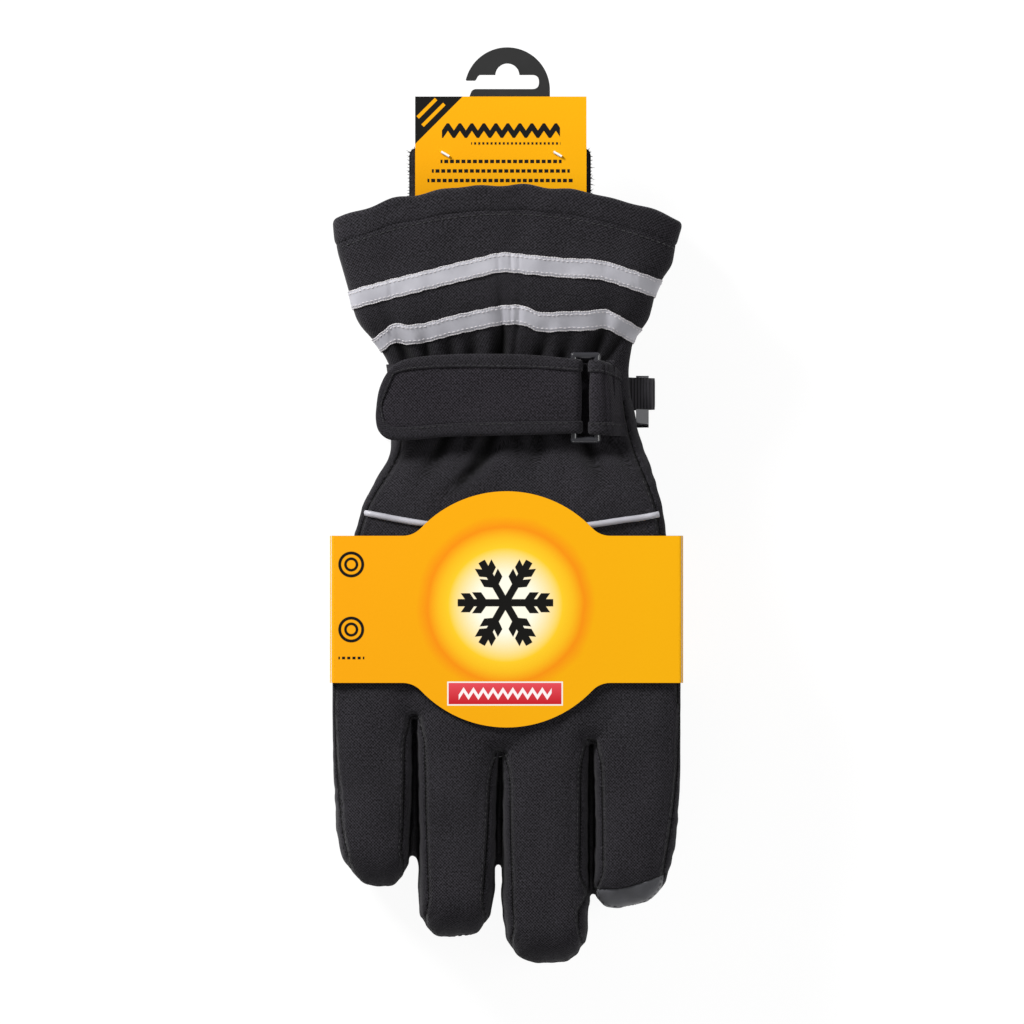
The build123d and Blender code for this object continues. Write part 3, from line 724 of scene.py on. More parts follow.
def pillowed(mesh):
    # the padding swells between its seams: cloth under pressure, held along the seams;
    # its way is eased so that it never passes the limit: limit * tanh(way / limit)
    ticks, limit = 20, 2.2
    points = pointsOf(mesh)
    distance, near = nearRim(points)
    held = (np.abs(distance - rimInset[near]) < 1.0) | (distance < 0.8) | (points[:, 1] > 24)
    pad = link(bpy.data.objects.new("pad", mesh))
    seam = pad.vertex_groups.new(name="seam")
    seam.add(np.nonzero(held)[0].tolist(), 1.0, "REPLACE")
    puff = pad.modifiers.new("puff", "CLOTH")
    settle(puff.settings, puffLook)
    puff.settings.effector_weights.gravity = 0.0
    puff.collision_settings.use_collision = False
    for tick in range(1, ticks + 1):
        bpy.context.scene.frame_set(tick)
    swollen = pointsOf(pad.evaluated_get(bpy.context.evaluated_depsgraph_get()).data)
    bpy.data.objects.remove(pad)
    bpy.context.scene.frame_set(1)
    shift = swollen - points
    far = np.linalg.norm(shift, axis=1, keepdims=True)
    shift *= limit * np.tanh(far / limit) / np.maximum(far, 1e-6)
    print("padding moved up to", round(float(np.linalg.norm(shift, axis=1).max()), 2), "mm")
    mesh.vertices.foreach_set("co", ((points + shift) * mm).ravel())
    mesh.update()
    return mesh


def normalsOf(points, faces):
    # vertex normals: the summed cross products of the faces' diagonals
    across = np.cross(points[faces[:, 2]] - points[faces[:, 0]], points[faces[:, -1]] - points[faces[:, 1]])
    total = np.zeros_like(points)
    for corner in range(faces.shape[1]):
        np.add.at(total, faces[:, corner], across)
    return unit(total)


def seamRelief(x, y, height, distance, near):
    # how far the shell rises off the padded form: folds, slow unevenness, the seam's groove and
    # puckers; each is a height times a ramp or bell that says where it holds
    over = ramp(height, 10, 15)
    lift = folds(x, y, handFolds) * over + folds(x, y, palmFolds) * (1 - over)
    lift += ripple(x, y, 34, 3) * 0.42 * over + ripple(x, y, 30, 5) * 0.5 * (1 - over)
    lift += ripple(x, y, 13, 11) * 0.16
    along = near * rimStep
    seam = distance - rimInset[near]
    soft = 0.4 + 0.6 * ramp(rimInset[near], 0.2, 1.6)
    lift -= seamLook["groove"] * soft * bell(seam, seamLook["width"])
    lift += soft * (0.3 * bell(seam - 1.5, 1.0) + 0.25 * bell(seam + 1.6, 0.9))
    wave = np.sin(along * 2 * np.pi / seamLook["pitch"] + 1.6 * np.sin(along / 17))
    wave *= (0.6 + 0.4 * np.sin(along / 7.3)) * (0.5 + 0.5 * ramp(-y, 60, 80))
    lift += seamLook["pucker"] * wave * bell(seam, 3.2)
    lift += 0.12 * np.sin(along * 2 * np.pi / 9.5 + 2 * np.sin(along / 11)) * bell(distance, 3)
    for cx, cy in fingerLook["crotches"]:
        lift -= 0.9 * bell(np.hypot((x - cx + 1.6) / 1.9, (y - cy - 1.6) / 0.8), 1) * over
    return lift


def shellSurface():
    # the outer shell of one glove as a fine quad mesh with folds, seams and puckers pressed into it
    mesh = applied(meshOf("hand", *handForm(-0.3)), "REMESH", mode="VOXEL", voxel_size=1.5 * mm)
    mesh = pillowed(mesh)
    mesh = applied(mesh, "SUBSURF", levels=1, render_levels=1)
    points, faces = pointsOf(mesh), facesOf(mesh)
    distance, near = nearRim(points)
    normals = normalsOf(points, faces)
    x, y, height = points.T
    points = points + normals * seamRelief(x, y, height, distance, near)[:, None]
    slot = seamLook["slot"] * bell(distance, seamLook["slotWidth"]) * rimSlot[near]
    above = height - (handTop(y) + handUnder(y)) / 2
    facing = np.clip(normals[:, 2] * np.sign(above), 0, 1)
    points[:, 2] -= np.sign(above) * np.minimum(slot * facing, np.abs(above) * 0.9)
    return keepClear(points), faces


def clothSpread(points, normals, top):
    # cloth coordinates: seen from above, unrolled down the sides
    drop = np.clip(top - points[:, 2], 0, 40)
    return points[:, :2] + normals[:, :2] * drop[:, None]


shellPoints, shellFaces = shellSurface()
print("hand shell:", len(shellPoints), "points")


def cutTo(points, value, slope, near):
    # points close to a field's zero line move onto it, so that a cut along it is clean
    close = np.abs(value) < near
    points[close, :2] -= slope[close] * value[close, None]
    return points


def capLevel(x):
    # where the fingertip's touch fabric starts: level over the nail, then rising to the outer side
    return -140.6 + 5.4 * np.clip((x - 41) / 17, 0, 1) ** 1.25


capStart = (31.2, -120.0)          # only the index finger has one: beyond this x and level


def panelsOf(points, faces):
    # the shell cut along its seams: back, palm, strips between the fingers, index cap
    distance, near = nearRim(points)
    flat = np.abs(normalsOf(points, faces)[:, 2]) > 0.5
    seam = np.where(flat, distance - rimInset[near], 9)
    points = cutTo(points.copy(), seam, rimInward[near], seamLook["snap"])
    index = (points[:, 0] > capStart[0]) & (points[:, 1] < capStart[1])
    cap = np.where(index, points[:, 1] - capLevel(points[:, 0]), 9)
    points = cutTo(points, cap, np.tile([0.0, 1.0], (len(points), 1)), seamLook["capSnap"])
    triangles = np.concatenate([faces[:, [0, 1, 2]], faces[:, [0, 2, 3]]])
    centre = points[triangles].mean(1)
    distance, near = nearRim(centre)
    x, y, height = centre.T
    tipXs = np.mean(fingerLook["tipEdges"], axis=1) + fingerLook["lean"]
    inside = distance > rimInset[near]
    capped = (x > capStart[0]) & (y < capLevel(x)) & inside
    backed = inside & (height > seamLook["backFrom"]) & ~capped
    strips = ~inside & (y < seamLook["stripsFrom"]) & (x > tipXs[0]) & (x < tipXs[3]) & ~capped
    masks = {"touch_tip": capped, "back_panel": backed}
    for i, name in enumerate(("outer", "middle", "inner")):
        masks[f"fourchette_{name}"] = strips & (x > tipXs[i]) & (x <= tipXs[i + 1])
    masks["palm_panel"] = ~capped & ~backed & ~strips
    normals = normalsOf(points, triangles)
    spread = clothSpread(points, normals, 27.0)
    distance, near = nearRim(points)
    fromCap = np.where(index, np.abs(points[:, 1] - capLevel(points[:, 0])), 9)
    fromSeam = np.minimum(np.abs(distance - rimInset[near]), fromCap)
    # fold depth on the back of the hand, which the finish paints as shade
    foldShade = foldShadeOf(points[:, 0], points[:, 1], handFolds) * ramp(points[:, 2], 12, 18)
    cut = {}
    for name, mask in masks.items():
        used, local = np.unique(triangles[mask], return_inverse=True)
        values = (column[used] for column in (spread, normals, fromSeam, foldShade))
        cut[name] = (points[used], local.reshape(-1, 3), *values)
    return cut


def walled(points, faces, spread, normals, wall=0.8):
    # a panel given its cloth's thickness: the same skin again, inside, with a strip closing the border
    edges = np.concatenate([faces[:, [0, 1]], faces[:, [1, 2]], faces[:, [2, 0]]])
    _, first, count = np.unique(np.sort(edges, 1) @ [1 << 32, 1], return_index=True, return_counts=True)
    border = edges[first[count == 1]]
    size = len(points)
    bridge = np.stack([border[:, 1], border[:, 0], border[:, 0] + size, border[:, 1] + size], -1)
    allFaces = faces.tolist() + (faces[:, ::-1] + size).tolist() + bridge.tolist()
    return np.concatenate([points, points - normals * wall]), allFaces, np.concatenate([spread, spread])


for name, (points, faces, spread, normals, fromSeam, foldShade) in panelsOf(shellPoints, shellFaces).items():
    finish = "tip" if name == "touch_tip" else "shell"
    for piece in onBoth(name, walled(points, faces, spread, normals), finish, fill=0.6):
        # the distance from the seam and the fold depth, which the finish turns into painted shade
        marked(piece, "seam", np.tile(fromSeam, 2))
        marked(piece, "foldShade", np.tile(foldShade, 2))
print("shell panels cut and stitched")


# Wadding and lining inside the hand, and the thumb between the palms
def insideForm(inset, start, wall):
    # the hand's form moved inwards, cut open at the wrist and given a wall
    mesh = applied(meshOf("inside", *handForm(inset)), "REMESH", mode="VOXEL", voxel_size=2.6 * mm)
    points, faces = pointsOf(mesh), facesOf(mesh)
    x, y, height = points.T
    over = ramp(height, 10, 15)
    points[:, 2] += folds(x, y, handFolds) * over - folds(x, y, palmFolds) * (1 - over)
    normals = normalsOf(points, faces)
    kept = faces[(points[faces][:, :, 1] < start).all(1)]
    used, local = np.unique(kept, return_inverse=True)
    triangles = local.reshape(-1, 4)[:, [0, 1, 2, 0, 2, 3]].reshape(-1, 3)
    return walled(points[used], triangles, points[used][:, :2], normals[used], wall)


onBoth("insulation", insideForm(inset=2.6, start=27.0, wall=1.2), "wadding", fill=0.4)
onBoth("lining", insideForm(inset=4.4, start=37.0, wall=1.0), "plush", fill=0.4)

thumbLook = {
    "x": 33.0, "half": 16.2, "root": 7.3, "end": -65.6, "low": 0.5, "high": 12.4,
    "folds": [(26, -4, 0.9, 3, 0.9, 14), (38, -12, -0.6, 3, 0.8, 16), (33, -38, 2, 2.4, 0.5, 10)],
}


def thumbTube(inset):
    # a flattened padded tube, blunt at both ends, slightly bent towards the fingers
    turn = np.linspace(-np.pi / 2, np.pi / 2, 60)
    s = np.sign(turn) * np.sin(np.abs(turn)) ** 0.55
    root, end = thumbLook["root"], thumbLook["end"]
    middleLevel, halfLength = (root + end) / 2, (root - end) / 2
    level = middleLevel + s * (halfLength - inset)
    shrink = np.clip(1 - np.abs(s) ** 3.4, 2e-3, 1) ** (1 / 2.4)
    centre = thumbLook["x"] + 0.6 * np.sin((level - middleLevel) / 16)
    low, high = thumbLook["low"] + inset, thumbLook["high"] - inset
    rings = ovalRing(centre, (thumbLook["half"] - inset) * shrink, *between(low, high, shrink), level, 2.4, 48)
    x, y, height = np.moveaxis(rings, -1, 0)
    relief = folds(x, y, thumbLook["folds"]) + 0.3 * ripple(x, y, 15, 21)
    rings[..., 2] += relief * np.sign(height - (low + high) / 2)
    rings[..., 2] = np.clip(rings[..., 2], thumbLook["low"], thumbLook["high"])
    return tube(rings)


for name, inset, finish in (("thumb_shell", 0.0, "cuff"), ("thumb_lining", 2.2, "plush")):
    points, faces = thumbTube(inset)
    onBoth(name, (points, faces, points[:, :2]), finish, fill=0.5)
print("inside of the hand and thumb made")

# Cuff
cuffLook = {
    "levels": [20, 30, 38, 50, 56, 59, 62, 65, 67.7, 72, 76.5, 83, 88.2, 92, 97, 103, 110, 120],
    "left": [
        -42.4, -41.6, -41.8, -42.6, -45.6, -47.8, -50.3, -53, -54.7, -56.2, -57.3, -59.1, -60.6, -61.7, -62.6,
        -63.2, -63.4, -63.5,
    ],
    "right": [
        49.6, 47.4, 45.8, 44.8, 45.6, 46.2, 47.4, 50, 51.8, 53.2, 54.3, 57.3, 60.6, 61.4, 62.2, 63.8,
        64.2, 64.3,
    ],
    "topLevels": [20, 38, 53, 62, 74, 90, 120],
    "top": [20.8, 20.6, 20.6, 23, 25.6, 25.6, 25],
    "underLevels": [20, 40, 54, 66, 120],
    "under": [3.2, 3.2, 3.2, 0.7, 0.6],
    "arch": ([38, 52, 73, 92, 107, 118], [0, 1.5, 8.6, 12.4, 13, 12.6]),
    "reach": 63.0,
    "roundness": 2.8,
    "mouth": 117.2,
    "wave": 0.55,
    "cols": 360,
}
cuffFolds = [
    (-37, 55, -0.5, 2.3, 3.6, 11), (-29, 55, -0.2, 1.8, 2, 9), (-20, 54, -0.2, 2.2, 1.9, 9),
    (-12, 54, -0.15, 2.2, 1.9, 10), (-2.4, 55, 0.05, 2.3, 3.8, 12), (3.6, 62, 0.1, 1.1, 1, 15),
    (-1.6, 64, -0.05, 0.9, 1, 14), (12, 54, 0.3, 2, 2, 9), (21, 54, 0.2, 2.4, 1.7, 10),
    (31.5, 54, 0.32, 2.3, 3.6, 12), (39, 57, 0.6, 1.8, 2, 10), (-44.5, 60, -0.6, 1.8, 1.4, 9),
]
cuffUnderFolds = [
    (-30, 54, -0.4, 3.4, 1.3, 13), (-8, 54, -0.1, 3.4, 1.6, 14), (16, 54, 0.2, 3.4, 1.5, 14),
    (34, 54, 0.5, 3.4, 1.2, 12),
]


def cuffSection(level):
    # centre, half width, lowest and highest height of the cuff at a level
    left, right = (smoothed(cuffLook["levels"], cuffLook[side], level) for side in ("left", "right"))
    low, high = (smoothed(cuffLook[f"{side}Levels"], cuffLook[side], level) for side in ("under", "top"))
    return (left + right) / 2, (right - left) / 2, low, high


def cuffSwell(x, y):
    # slow unevenness of the cuff's padding
    return ripple(x, y, 30, 31) * 0.35 + ripple(x, y, 11, 32) * 0.1


def cuffPoint(angle, line, rise=0.0, course=None):
    # a place on the cuff: angle round it, line counted on the centre line, rise off the cloth;
    # the line drops towards the sides with the cuff's arch, or follows a course given over x
    c, s = squircle(angle, cuffLook["roundness"])
    arch = np.interp(line, *cuffLook["arch"])
    level = line + 0 * angle
    for _ in range(24 if course else 6):
        centre, half, low, high = cuffSection(level)
        x = centre + (half + rise) * c
        aim = line + course(x) if course else line - arch * (x / cuffLook["reach"]) ** 2
        level = (level + aim) / 2
    if not course:
        level = level + cuffLook["wave"] * ripple(x, 0 * x, 16, 41) * ramp(line, 100, 117)
    upper, lower = np.clip(s, 0, 1) ** 0.6, np.clip(-s, 0, 1) ** 0.6
    height = (low + high) / 2 + ((high - low) / 2 + rise) * s
    height += folds(x, level, cuffFolds) * upper - folds(x, level, cuffUnderFolds) * lower
    height += cuffSwell(x, level) * (upper - lower)
    gather = np.exp(-(((level - 40) / 12) ** 4))           # the elastic's gathers, on the palm's side
    height -= 0.5 * np.sin(x * 1.15 + 0.6 * np.sin(level / 3)) * gather * lower
    return np.stack([x, level, height], -1)


def evenAngles(start, stop, count):
    # angles in degrees for places evenly spaced along the cuff's girth
    fine = np.radians(np.linspace(start, stop, 20001))
    run = runAlong(cuffPoint(fine, 60.0 + 0 * fine))
    even = np.linspace(0, run[-1], count)
    return np.interp(even, run, fine), even


def cuffLoop(profile):
    # a closed wall round the cuff: a closed profile of (line, rise) carried round every angle
    cols = cuffLook["cols"]
    angle, girth = (v[:-1] for v in evenAngles(0, 360, cols + 1))
    line, rise = (np.asarray(v, float)[:, None] for v in zip(*profile))
    points = cuffPoint(angle[None, :] + 0 * line, line + 0 * angle, rise + 0 * angle)
    spread = np.stack(np.broadcast_arrays(girth * 1.15, line), -1).reshape(-1, 2)
    return points.reshape(-1, 3), gridFaces(len(profile), cols, True, True).tolist(), spread


def wallProfile(start, stop, outer, inner, count):
    # a wall's profile: up the outside, over a rounded top, down the inside
    turn = np.linspace(0, np.pi, 7)[1:-1]
    mid, reach = (outer + inner) / 2, (outer - inner) / 2
    up = [(line, outer) for line in np.linspace(start, stop, count)]
    over = [(stop + reach * np.sin(t), mid + reach * np.cos(t)) for t in turn]
    down = [(line, inner) for line in np.linspace(stop, start, max(count // 2, 3))]
    return up + over + down + [(start - 0.6 * reach * np.sin(t), mid - reach * np.cos(t)) for t in turn]


mouth = cuffLook["mouth"]
hemLine = mouth - 10.0
hem = [(-0.2, -0.5), (0.35, -0.35), (0.9, 0.15), (1.8, 0.45), (3.4, 0.5)]
hem = [(hemLine + line, rise) for line, rise in hem]
hem += [(line, 0.45) for line in np.linspace(hemLine + 5, mouth - 1.6, 6)]
hem += [(mouth - 0.7, 0.2), (mouth - 0.1, -0.5), (mouth, -1.2), (mouth - 0.2, -2.0), (mouth - 0.9, -2.5)]
hem += [(hemLine + 4, -2.6), (hemLine, -2.6), (hemLine - 0.2, -1.6)]
for name, profile, finish in (
    ("cuff_shell", wallProfile(38.2, hemLine + 0.3, outer=0.0, inner=-0.9, count=64), "cuff"),
    ("cuff_hem", hem, "cuff"),
    ("cuff_lining", wallProfile(52.3, hemLine - 0.8, outer=-1.0, inner=-2.4, count=26), "plush"),
    ("wrist_elastic", wallProfile(28.2, 51.8, outer=-1.3, inner=-2.6, count=16), "elastic"),
):
    shape = cuffLoop(profile)
    made = onBoth(name, shape, finish, fill=0.3 if finish == "cuff" else None)
    if finish == "cuff":
        x, y, height = shape[0].T
        for piece in made:
            smooth = piece.modifiers.new("smooth", "SUBSURF")
            smooth.levels = smooth.render_levels = 1
            # the fold depth on the cuff's back, which the finish paints as shade
            marked(piece, "foldShade", foldShadeOf(x, y, cuffFolds) * ramp(height, 13, 18))
print("cuffs made")


# Surfaces seen from above, for what is sewn on
def cuffTop(x, y):
    # height of the cuff's back at a place seen from above
    centre, half, low, high = cuffSection(y)
    c = np.clip(np.abs((x - centre) / half), 0, 0.999)
    s = (1 - c ** cuffLook["roundness"]) ** (1 / cuffLook["roundness"])
    return (low + high) / 2 + (high - low) / 2 * s + (folds(x, y, cuffFolds) + cuffSwell(x, y)) * s**0.6


shellTree = BVHTree.FromPolygons(shellPoints.tolist(), shellFaces.tolist())


def shellTop(x, y):
    # height of the hand's back at places seen from above, found by a ray from over them
    heights = []
    for px, py in zip(np.ravel(x), np.ravel(y)):
        hit = shellTree.ray_cast(Vector((px, py, 60)), Vector((0, 0, -1)))[0]
        heights.append(hit.z if hit else np.nan)
    return np.array(heights).reshape(np.shape(x))


def tilt(surface, x, y):
    # upward normal of a surface given as heights
    step = 0.3
    dx = (surface(x + step, y) - surface(x - step, y)) / (2 * step)
    dy = (surface(x, y + step) - surface(x, y - step)) / (2 * step)
    return unit(np.stack([-dx, -dy, np.ones_like(dx)], -1))


# Stitches
# a thread's places along its length, its thickness there and its bend into the cloth
spindle = [(-0.5, -0.36, 0, 0.36, 0.5), (0.25, 0.8, 1, 0.8, 0.25), (-0.48, 0.22, 0.52, 0.22, -0.48)]


def stitchRow(places, normals, length, radius, pitch):
    # short rounded threads along a line, each a six-sided spindle lying in the surface, turned
    # to axes that point ahead, sideways and up
    run = runAlong(places)
    at = np.arange(pitch / 2, run[-1], pitch)
    ahead = unit(placesAt(at + 0.3, run, places) - placesAt(at - 0.3, run, places))
    up = placesAt(at, run, normals)
    up = unit(up - ahead * (up * ahead).sum(1, keepdims=True))
    t, thick, bend = np.array(spindle)[:, :, None]
    turn = np.linspace(0, 2 * np.pi, 6, endpoint=False)
    sideways, upwards = thick * np.cos(turn) * radius, (thick * np.sin(turn) + bend) * radius
    one, faces = tube(np.stack(np.broadcast_arrays(t * length, sideways, upwards), -1))
    axes = np.stack([ahead, np.cross(up, ahead), up], 1)
    points = placesAt(at, run, places)[:, None, :] + np.einsum("pk,nkj->npj", one, axes)
    return points.reshape(-1, 3), [[i + n * len(one) for i in face] for n in range(len(at)) for face in faces]


# Reflective tapes and piping
tapeLook = {
    "upper": [
        (-62, 72.6), (-58.6, 74.2), (-46, 78), (-32.4, 81.4), (-10.9, 86.7), (-1.9, 88.7), (8, 87.9),
        (21.4, 86.7), (34.8, 85.8), (48, 81.7), (58.9, 77.9), (62, 76.6),
    ],
    "lower": [
        (-53, 54.4), (-48.8, 57.2), (-45.2, 60), (-41.2, 62.8), (-37, 62.3), (-31.5, 62.7), (-20, 65.6),
        (-10.9, 67.6), (1.5, 69.6), (6.5, 69.2), (10.6, 67.4), (22, 67.2), (31, 67.5), (35.7, 68.1),
        (42, 65.2), (50.2, 60.4), (54, 58.2),
    ],
    "rows": 420,
    "cols": 9,
    "angles": (176, 4),
    # how a sewn line wavers, as (height of a wave, its pace, height of a jitter)
    "waver": (0.09, 0.31, 0.05),
    "width": 6.7,
    "rise": 0.28,
    "thick": 0.3,
    "fray": 0.22,
    # creases as (x, width, depth)
    "creases": [
        (-42.5, 0.9, 0.3), (-3, 0.8, 0.21), (1.6, 0.7, 0.3), (4.6, 0.6, 0.18), (-28, 2, 0.15),
        (22, 2.4, 0.18), (36, 1.6, 0.21), (47, 1, 0.18),
    ],
    # stitch rows as (inset from the edge, length, radius, pitch, rise)
    "stitches": [(0.95, 1.15, 0.2, 1.75, 0.58), (-0.05, 1.0, 0.24, 0.95, 0.4)],
}


def tapePoint(course, angle, across, rise):
    # a place on a tape: angle round the cuff, across counted from the tape's middle line
    xs, ys = zip(*course)
    points = cuffPoint(angle, across, rise, lambda x: smoothed(xs, ys, x))
    for x, width, depth in tapeLook["creases"]:
        points[..., 2] -= depth * bell(points[..., 0] - x, width)
    return points


for name in ("upper", "lower"):
    course, rows, cols, half = tapeLook[name], tapeLook["rows"], 2 * tapeLook["cols"], tapeLook["width"] / 2
    angle = evenAngles(*tapeLook["angles"], rows)[0][:, None]
    q = thereAndBack(tapeLook["cols"]) * half
    frayed = q + tapeLook["fray"] * dice.uniform(-1, 1, (rows, cols)) * (np.abs(q) > half * 0.98)
    lift = tapeLook["rise"] + np.where(np.arange(cols) < tapeLook["cols"], tapeLook["thick"], -0.15)
    points, faces = tube(tapePoint(course, angle + 0 * q, frayed, lift + 0 * angle))
    along = runAlong(points[: rows * cols : cols])
    spread = np.stack([np.repeat(along, cols), np.tile(q, rows)], -1)
    onBoth(f"tape_{name}", (points, faces, np.concatenate([spread, [[0, 0], [0, 0]]])), "tape")
    sewing = []
    for edge in (1, -1):
        for inset, length, radius, pitch, rise in tapeLook["stitches"]:
            wave, pace, jitter = tapeLook["waver"]
            v = edge * (half - inset) + wave * np.sin(np.arange(rows) * pace) + jitter * dice.normal(0, 1, rows)
            line, over = (tapePoint(course, angle[:, 0], v, rise + step) for step in (0, 1))
            sewing.append(stitchRow(line, over - line, length, radius, pitch))
    onBoth(f"tape_{name}_stitches", joined(sewing), "tapeThread")

pipingLook = {
    "line": [
        (-57, -2), (-51.5, -3), (-40, -5.2), (-28, -7.2), (0, -8.3), (28, -7.6), (42, -5.6), (53, -4),
        (58, -2.8),
    ],
    "radius": 1.15, "sink": 0.35, "cols": 10, "top": 28.1,
}


def cordOn(line, surface):
    # a round cord lying on a surface
    radius, cols = pipingLook["radius"], pipingLook["cols"]
    x, y = line.T
    normals = tilt(surface, x, y)
    centre = np.stack([x, y, surface(x, y)], -1) + normals * radius * pipingLook["sink"]
    centre[:, 2] = np.minimum(centre[:, 2], pipingLook["top"] - radius)
    side = np.cross(normals, unit(np.gradient(centre, axis=0)))
    turn = np.linspace(0, 2 * np.pi, cols, endpoint=False)
    ring = side[:, None, :] * np.cos(turn)[:, None] + normals[:, None, :] * np.sin(turn)[:, None]
    points, faces = tube(centre[:, None, :] + ring * radius)
    run = np.arange(len(line)) * np.linalg.norm(line[1] - line[0])
    u = np.concatenate([np.repeat(run, cols), run[[0, -1]]])
    v = np.concatenate([np.tile(turn * radius, len(line)), [0, 0]])
    return points, faces, np.stack([u, v], -1)


xs, ys = zip(*pipingLook["line"])
x = np.linspace(xs[0], xs[-1], 150)
line = np.stack([x, smoothed(xs, ys, x)], -1)
seen = ~np.isnan(shellTop(*line.T)) & (nearRim(line)[0] > 0.8)
onBoth("knuckle_piping", cordOn(line[seen], shellTop), "tape")
print("tapes and piping sewn on")


# Seam stitches on the hand and hem
def sewn(line, surface, length, radius, pitch, lift):
    # stitches along a line seen from above, broken where the line jumps
    rows, jump = [], 6
    jumps = np.nonzero(np.linalg.norm(np.diff(line, axis=0), axis=1) > jump)[0] + 1
    for part in np.split(line, jumps):
        height = surface(*part.T)
        part, height = part[~np.isnan(height)], height[~np.isnan(height)]
        if len(part) > 3:
            normals = tilt(surface, part[:, 0], part[:, 1])
            normals = np.where(np.isnan(normals), [0, 0, 1.0], normals)
            spots = np.column_stack([part, height]) + normals * lift
            rows.append(stitchRow(spots, normals, length, radius, pitch))
    return joined(rows)


# just inside the seam, with kinks left out
some = slice(60, len(rim) - 60, 4)
inset = rimInset[some, None] + 0.95
line = rim[some] + rimInward[some] * inset
line = line[np.abs(nearRim(line)[0] - inset[:, 0]) < 0.35]
rows = sewn(line, shellTop, length=1.5, radius=0.17, pitch=2.4, lift=0.02)
onBoth("seam_stitches", rows, "shellThread")

x = np.linspace(-60.5, 61, 160)
line = np.stack([x, hemLine - 0.9 - 13.0 * (x / cuffLook["reach"]) ** 2], -1)
rows = sewn(line, cuffTop, length=1.5, radius=0.2, pitch=2.3, lift=0.08)
onBoth("hem_stitches", rows, "shellThread")
print("seams stitched")

# Wrist strap: path across the wrist and round the ring's bars
ringBars = {"tail": 24.6, "tab": 33.1, "height": 24.6, "wrap": 2.2}


class Path:
    # a strip's middle line seen from the end: place(along, across, rise) puts cloth on it
    def __init__(self, stations, zero):
        line = np.asarray(stations, float)
        run = runAlong(line)
        self.run = np.arange(0, run[-1], 0.2)
        self.line = placesAt(self.run, run, line)
        ahead = np.gradient(self.line, axis=0)
        ahead = unit(np.stack([evened(ahead[:, k], 3) for k in range(2)], -1))
        self.normal = np.stack([-ahead[:, 1], ahead[:, 0]], -1)
        self.run -= np.interp(zero, np.arange(len(line)), run)

    def place(self, along, across, rise):
        x, height, nx, nz = (np.interp(along, self.run, v) for v in (*self.line.T, *self.normal.T))
        return np.stack([x + nx * rise, np.broadcast_to(across, x.shape), height + nz * rise], -1)


def halfTurn(x, height, radius, start, stop, count=14):
    # places round a bar, from one angle to another
    turn = np.radians(np.linspace(start, stop, count))
    return [(x + radius * np.cos(t), height + radius * np.sin(t)) for t in turn]


wrap, barHeight = ringBars["wrap"], ringBars["height"]
tailPath = Path(
    [(-49.2, barHeight + wrap)]
    + halfTurn(ringBars["tail"], barHeight, wrap, 90, -90)
    + [(22, barHeight - wrap)],
    1,
)
tabPath = Path(
    [(41, 22), (37, 22.2)]
    + halfTurn(ringBars["tab"], barHeight, wrap, 270, 90)
    + [(34.6, 26.7), (36, 26.1), (38, 24.8), (40, 22.9), (41.6, 20.8), (43, 18.4), (44.4, 15.8)],
    15,
)
# The strap's edge and the inner edge of its binding, in pairs from the bar round the free end and back.
# Distances along are counted from the bar.
bindingPairs = [
    ((7.5, 53), (7.5, 48.6)), ((3, 53.1), (3, 48.9)), ((-4, 53.8), (-4, 49.4)), ((-16, 54.8), (-16, 50)),
    ((-31, 55.2), (-31, 50.2)), ((-48.3, 54.8), (-48.1, 50.2)), ((-57.6, 53.9), (-57.2, 49.6)),
    ((-63.2, 52.6), (-62.6, 48.9)), ((-66.4, 50.6), (-65.6, 47.9)), ((-68.5, 48), (-66.5, 46.2)),
    ((-71.1, 42.4), (-68.4, 41.8)), ((-72.2, 36), (-70.2, 36.6)), ((-72.4, 31.4), (-69.8, 33.2)),
    ((-71.5, 27.4), (-68.9, 30.4)), ((-69.2, 24.8), (-67.2, 28.9)), ((-66.6, 23.8), (-65.4, 28.5)),
    ((-63, 23.7), (-62.6, 28.5)), ((-46.6, 25), (-46.6, 29.7)), ((-30.4, 25.4), (-30.4, 30.3)),
    ((-10, 25.9), (-10, 30.6)), ((-2, 26.2), (-2, 30.7)), ((7.5, 26.2), (7.5, 30.7)),
]
bindingLook = {
    # the tape's section: how far from the outer to the inner edge, and its height
    "profile": [
        (1.0, 0.4), (1.0, 0.85), (0.97, 1.08), (0.9, 1.15), (0.84, 1.02), (0.7, 1.12), (0.45, 1.18),
        (0.2, 1.08), (0.06, 0.75), (-0.02, 0.3), (-0.02, -0.3), (0.06, -0.7), (0.2, -0.88), (0.6, -0.92),
        (0.97, -0.86), (1.0, -0.66), (0.6, -0.6), (0.14, -0.5), (0.12, 0.3), (0.4, 0.5),
    ],
    "width": 4.5,
    "stitch": 0.84,
    "lie": 0.98,
    "waver": (0.1, 0.23, 0.06),
}


def resampled(pairs, step):
    # pairs of places made even, with smooth cubic turns between them
    line = np.array([(*outer, *inner) for outer, inner in pairs], float)
    run = runAlong(line[:, :2])
    at = np.linspace(0, run[-1], int(run[-1] / step))
    return np.stack([smoothed(run, line[:, k], at) for k in range(line.shape[1])], -1)


def boundEdge(pairs, place, step=0.9):
    # folded tape round a strap's edge: its profile carried from the outer edge to the inner one
    both = resampled(pairs, step)
    f, h = (np.asarray(v)[None, :] for v in zip(*bindingLook["profile"]))
    spot = both[:, None, :2] * (1 - f[..., None]) + both[:, None, 2:] * f[..., None]
    wave, pace, jitter = bindingLook["waver"]
    wobble = wave * np.sin(np.arange(len(both)) * pace)[:, None] + jitter * dice.normal(0, 1, (len(both), 1))
    points, faces = tube(place(spot[..., 0], spot[..., 1], h + wobble * (h > 0)))
    run = np.arange(len(both)) * step
    across = runAlong(np.stack([f[0] * bindingLook["width"], h[0]], -1))
    uv = np.stack([np.repeat(run, len(across)), np.tile(across, len(run))], -1)
    return points, outward(points, faces), np.concatenate([uv, [[0, 0], [0, 0]]])


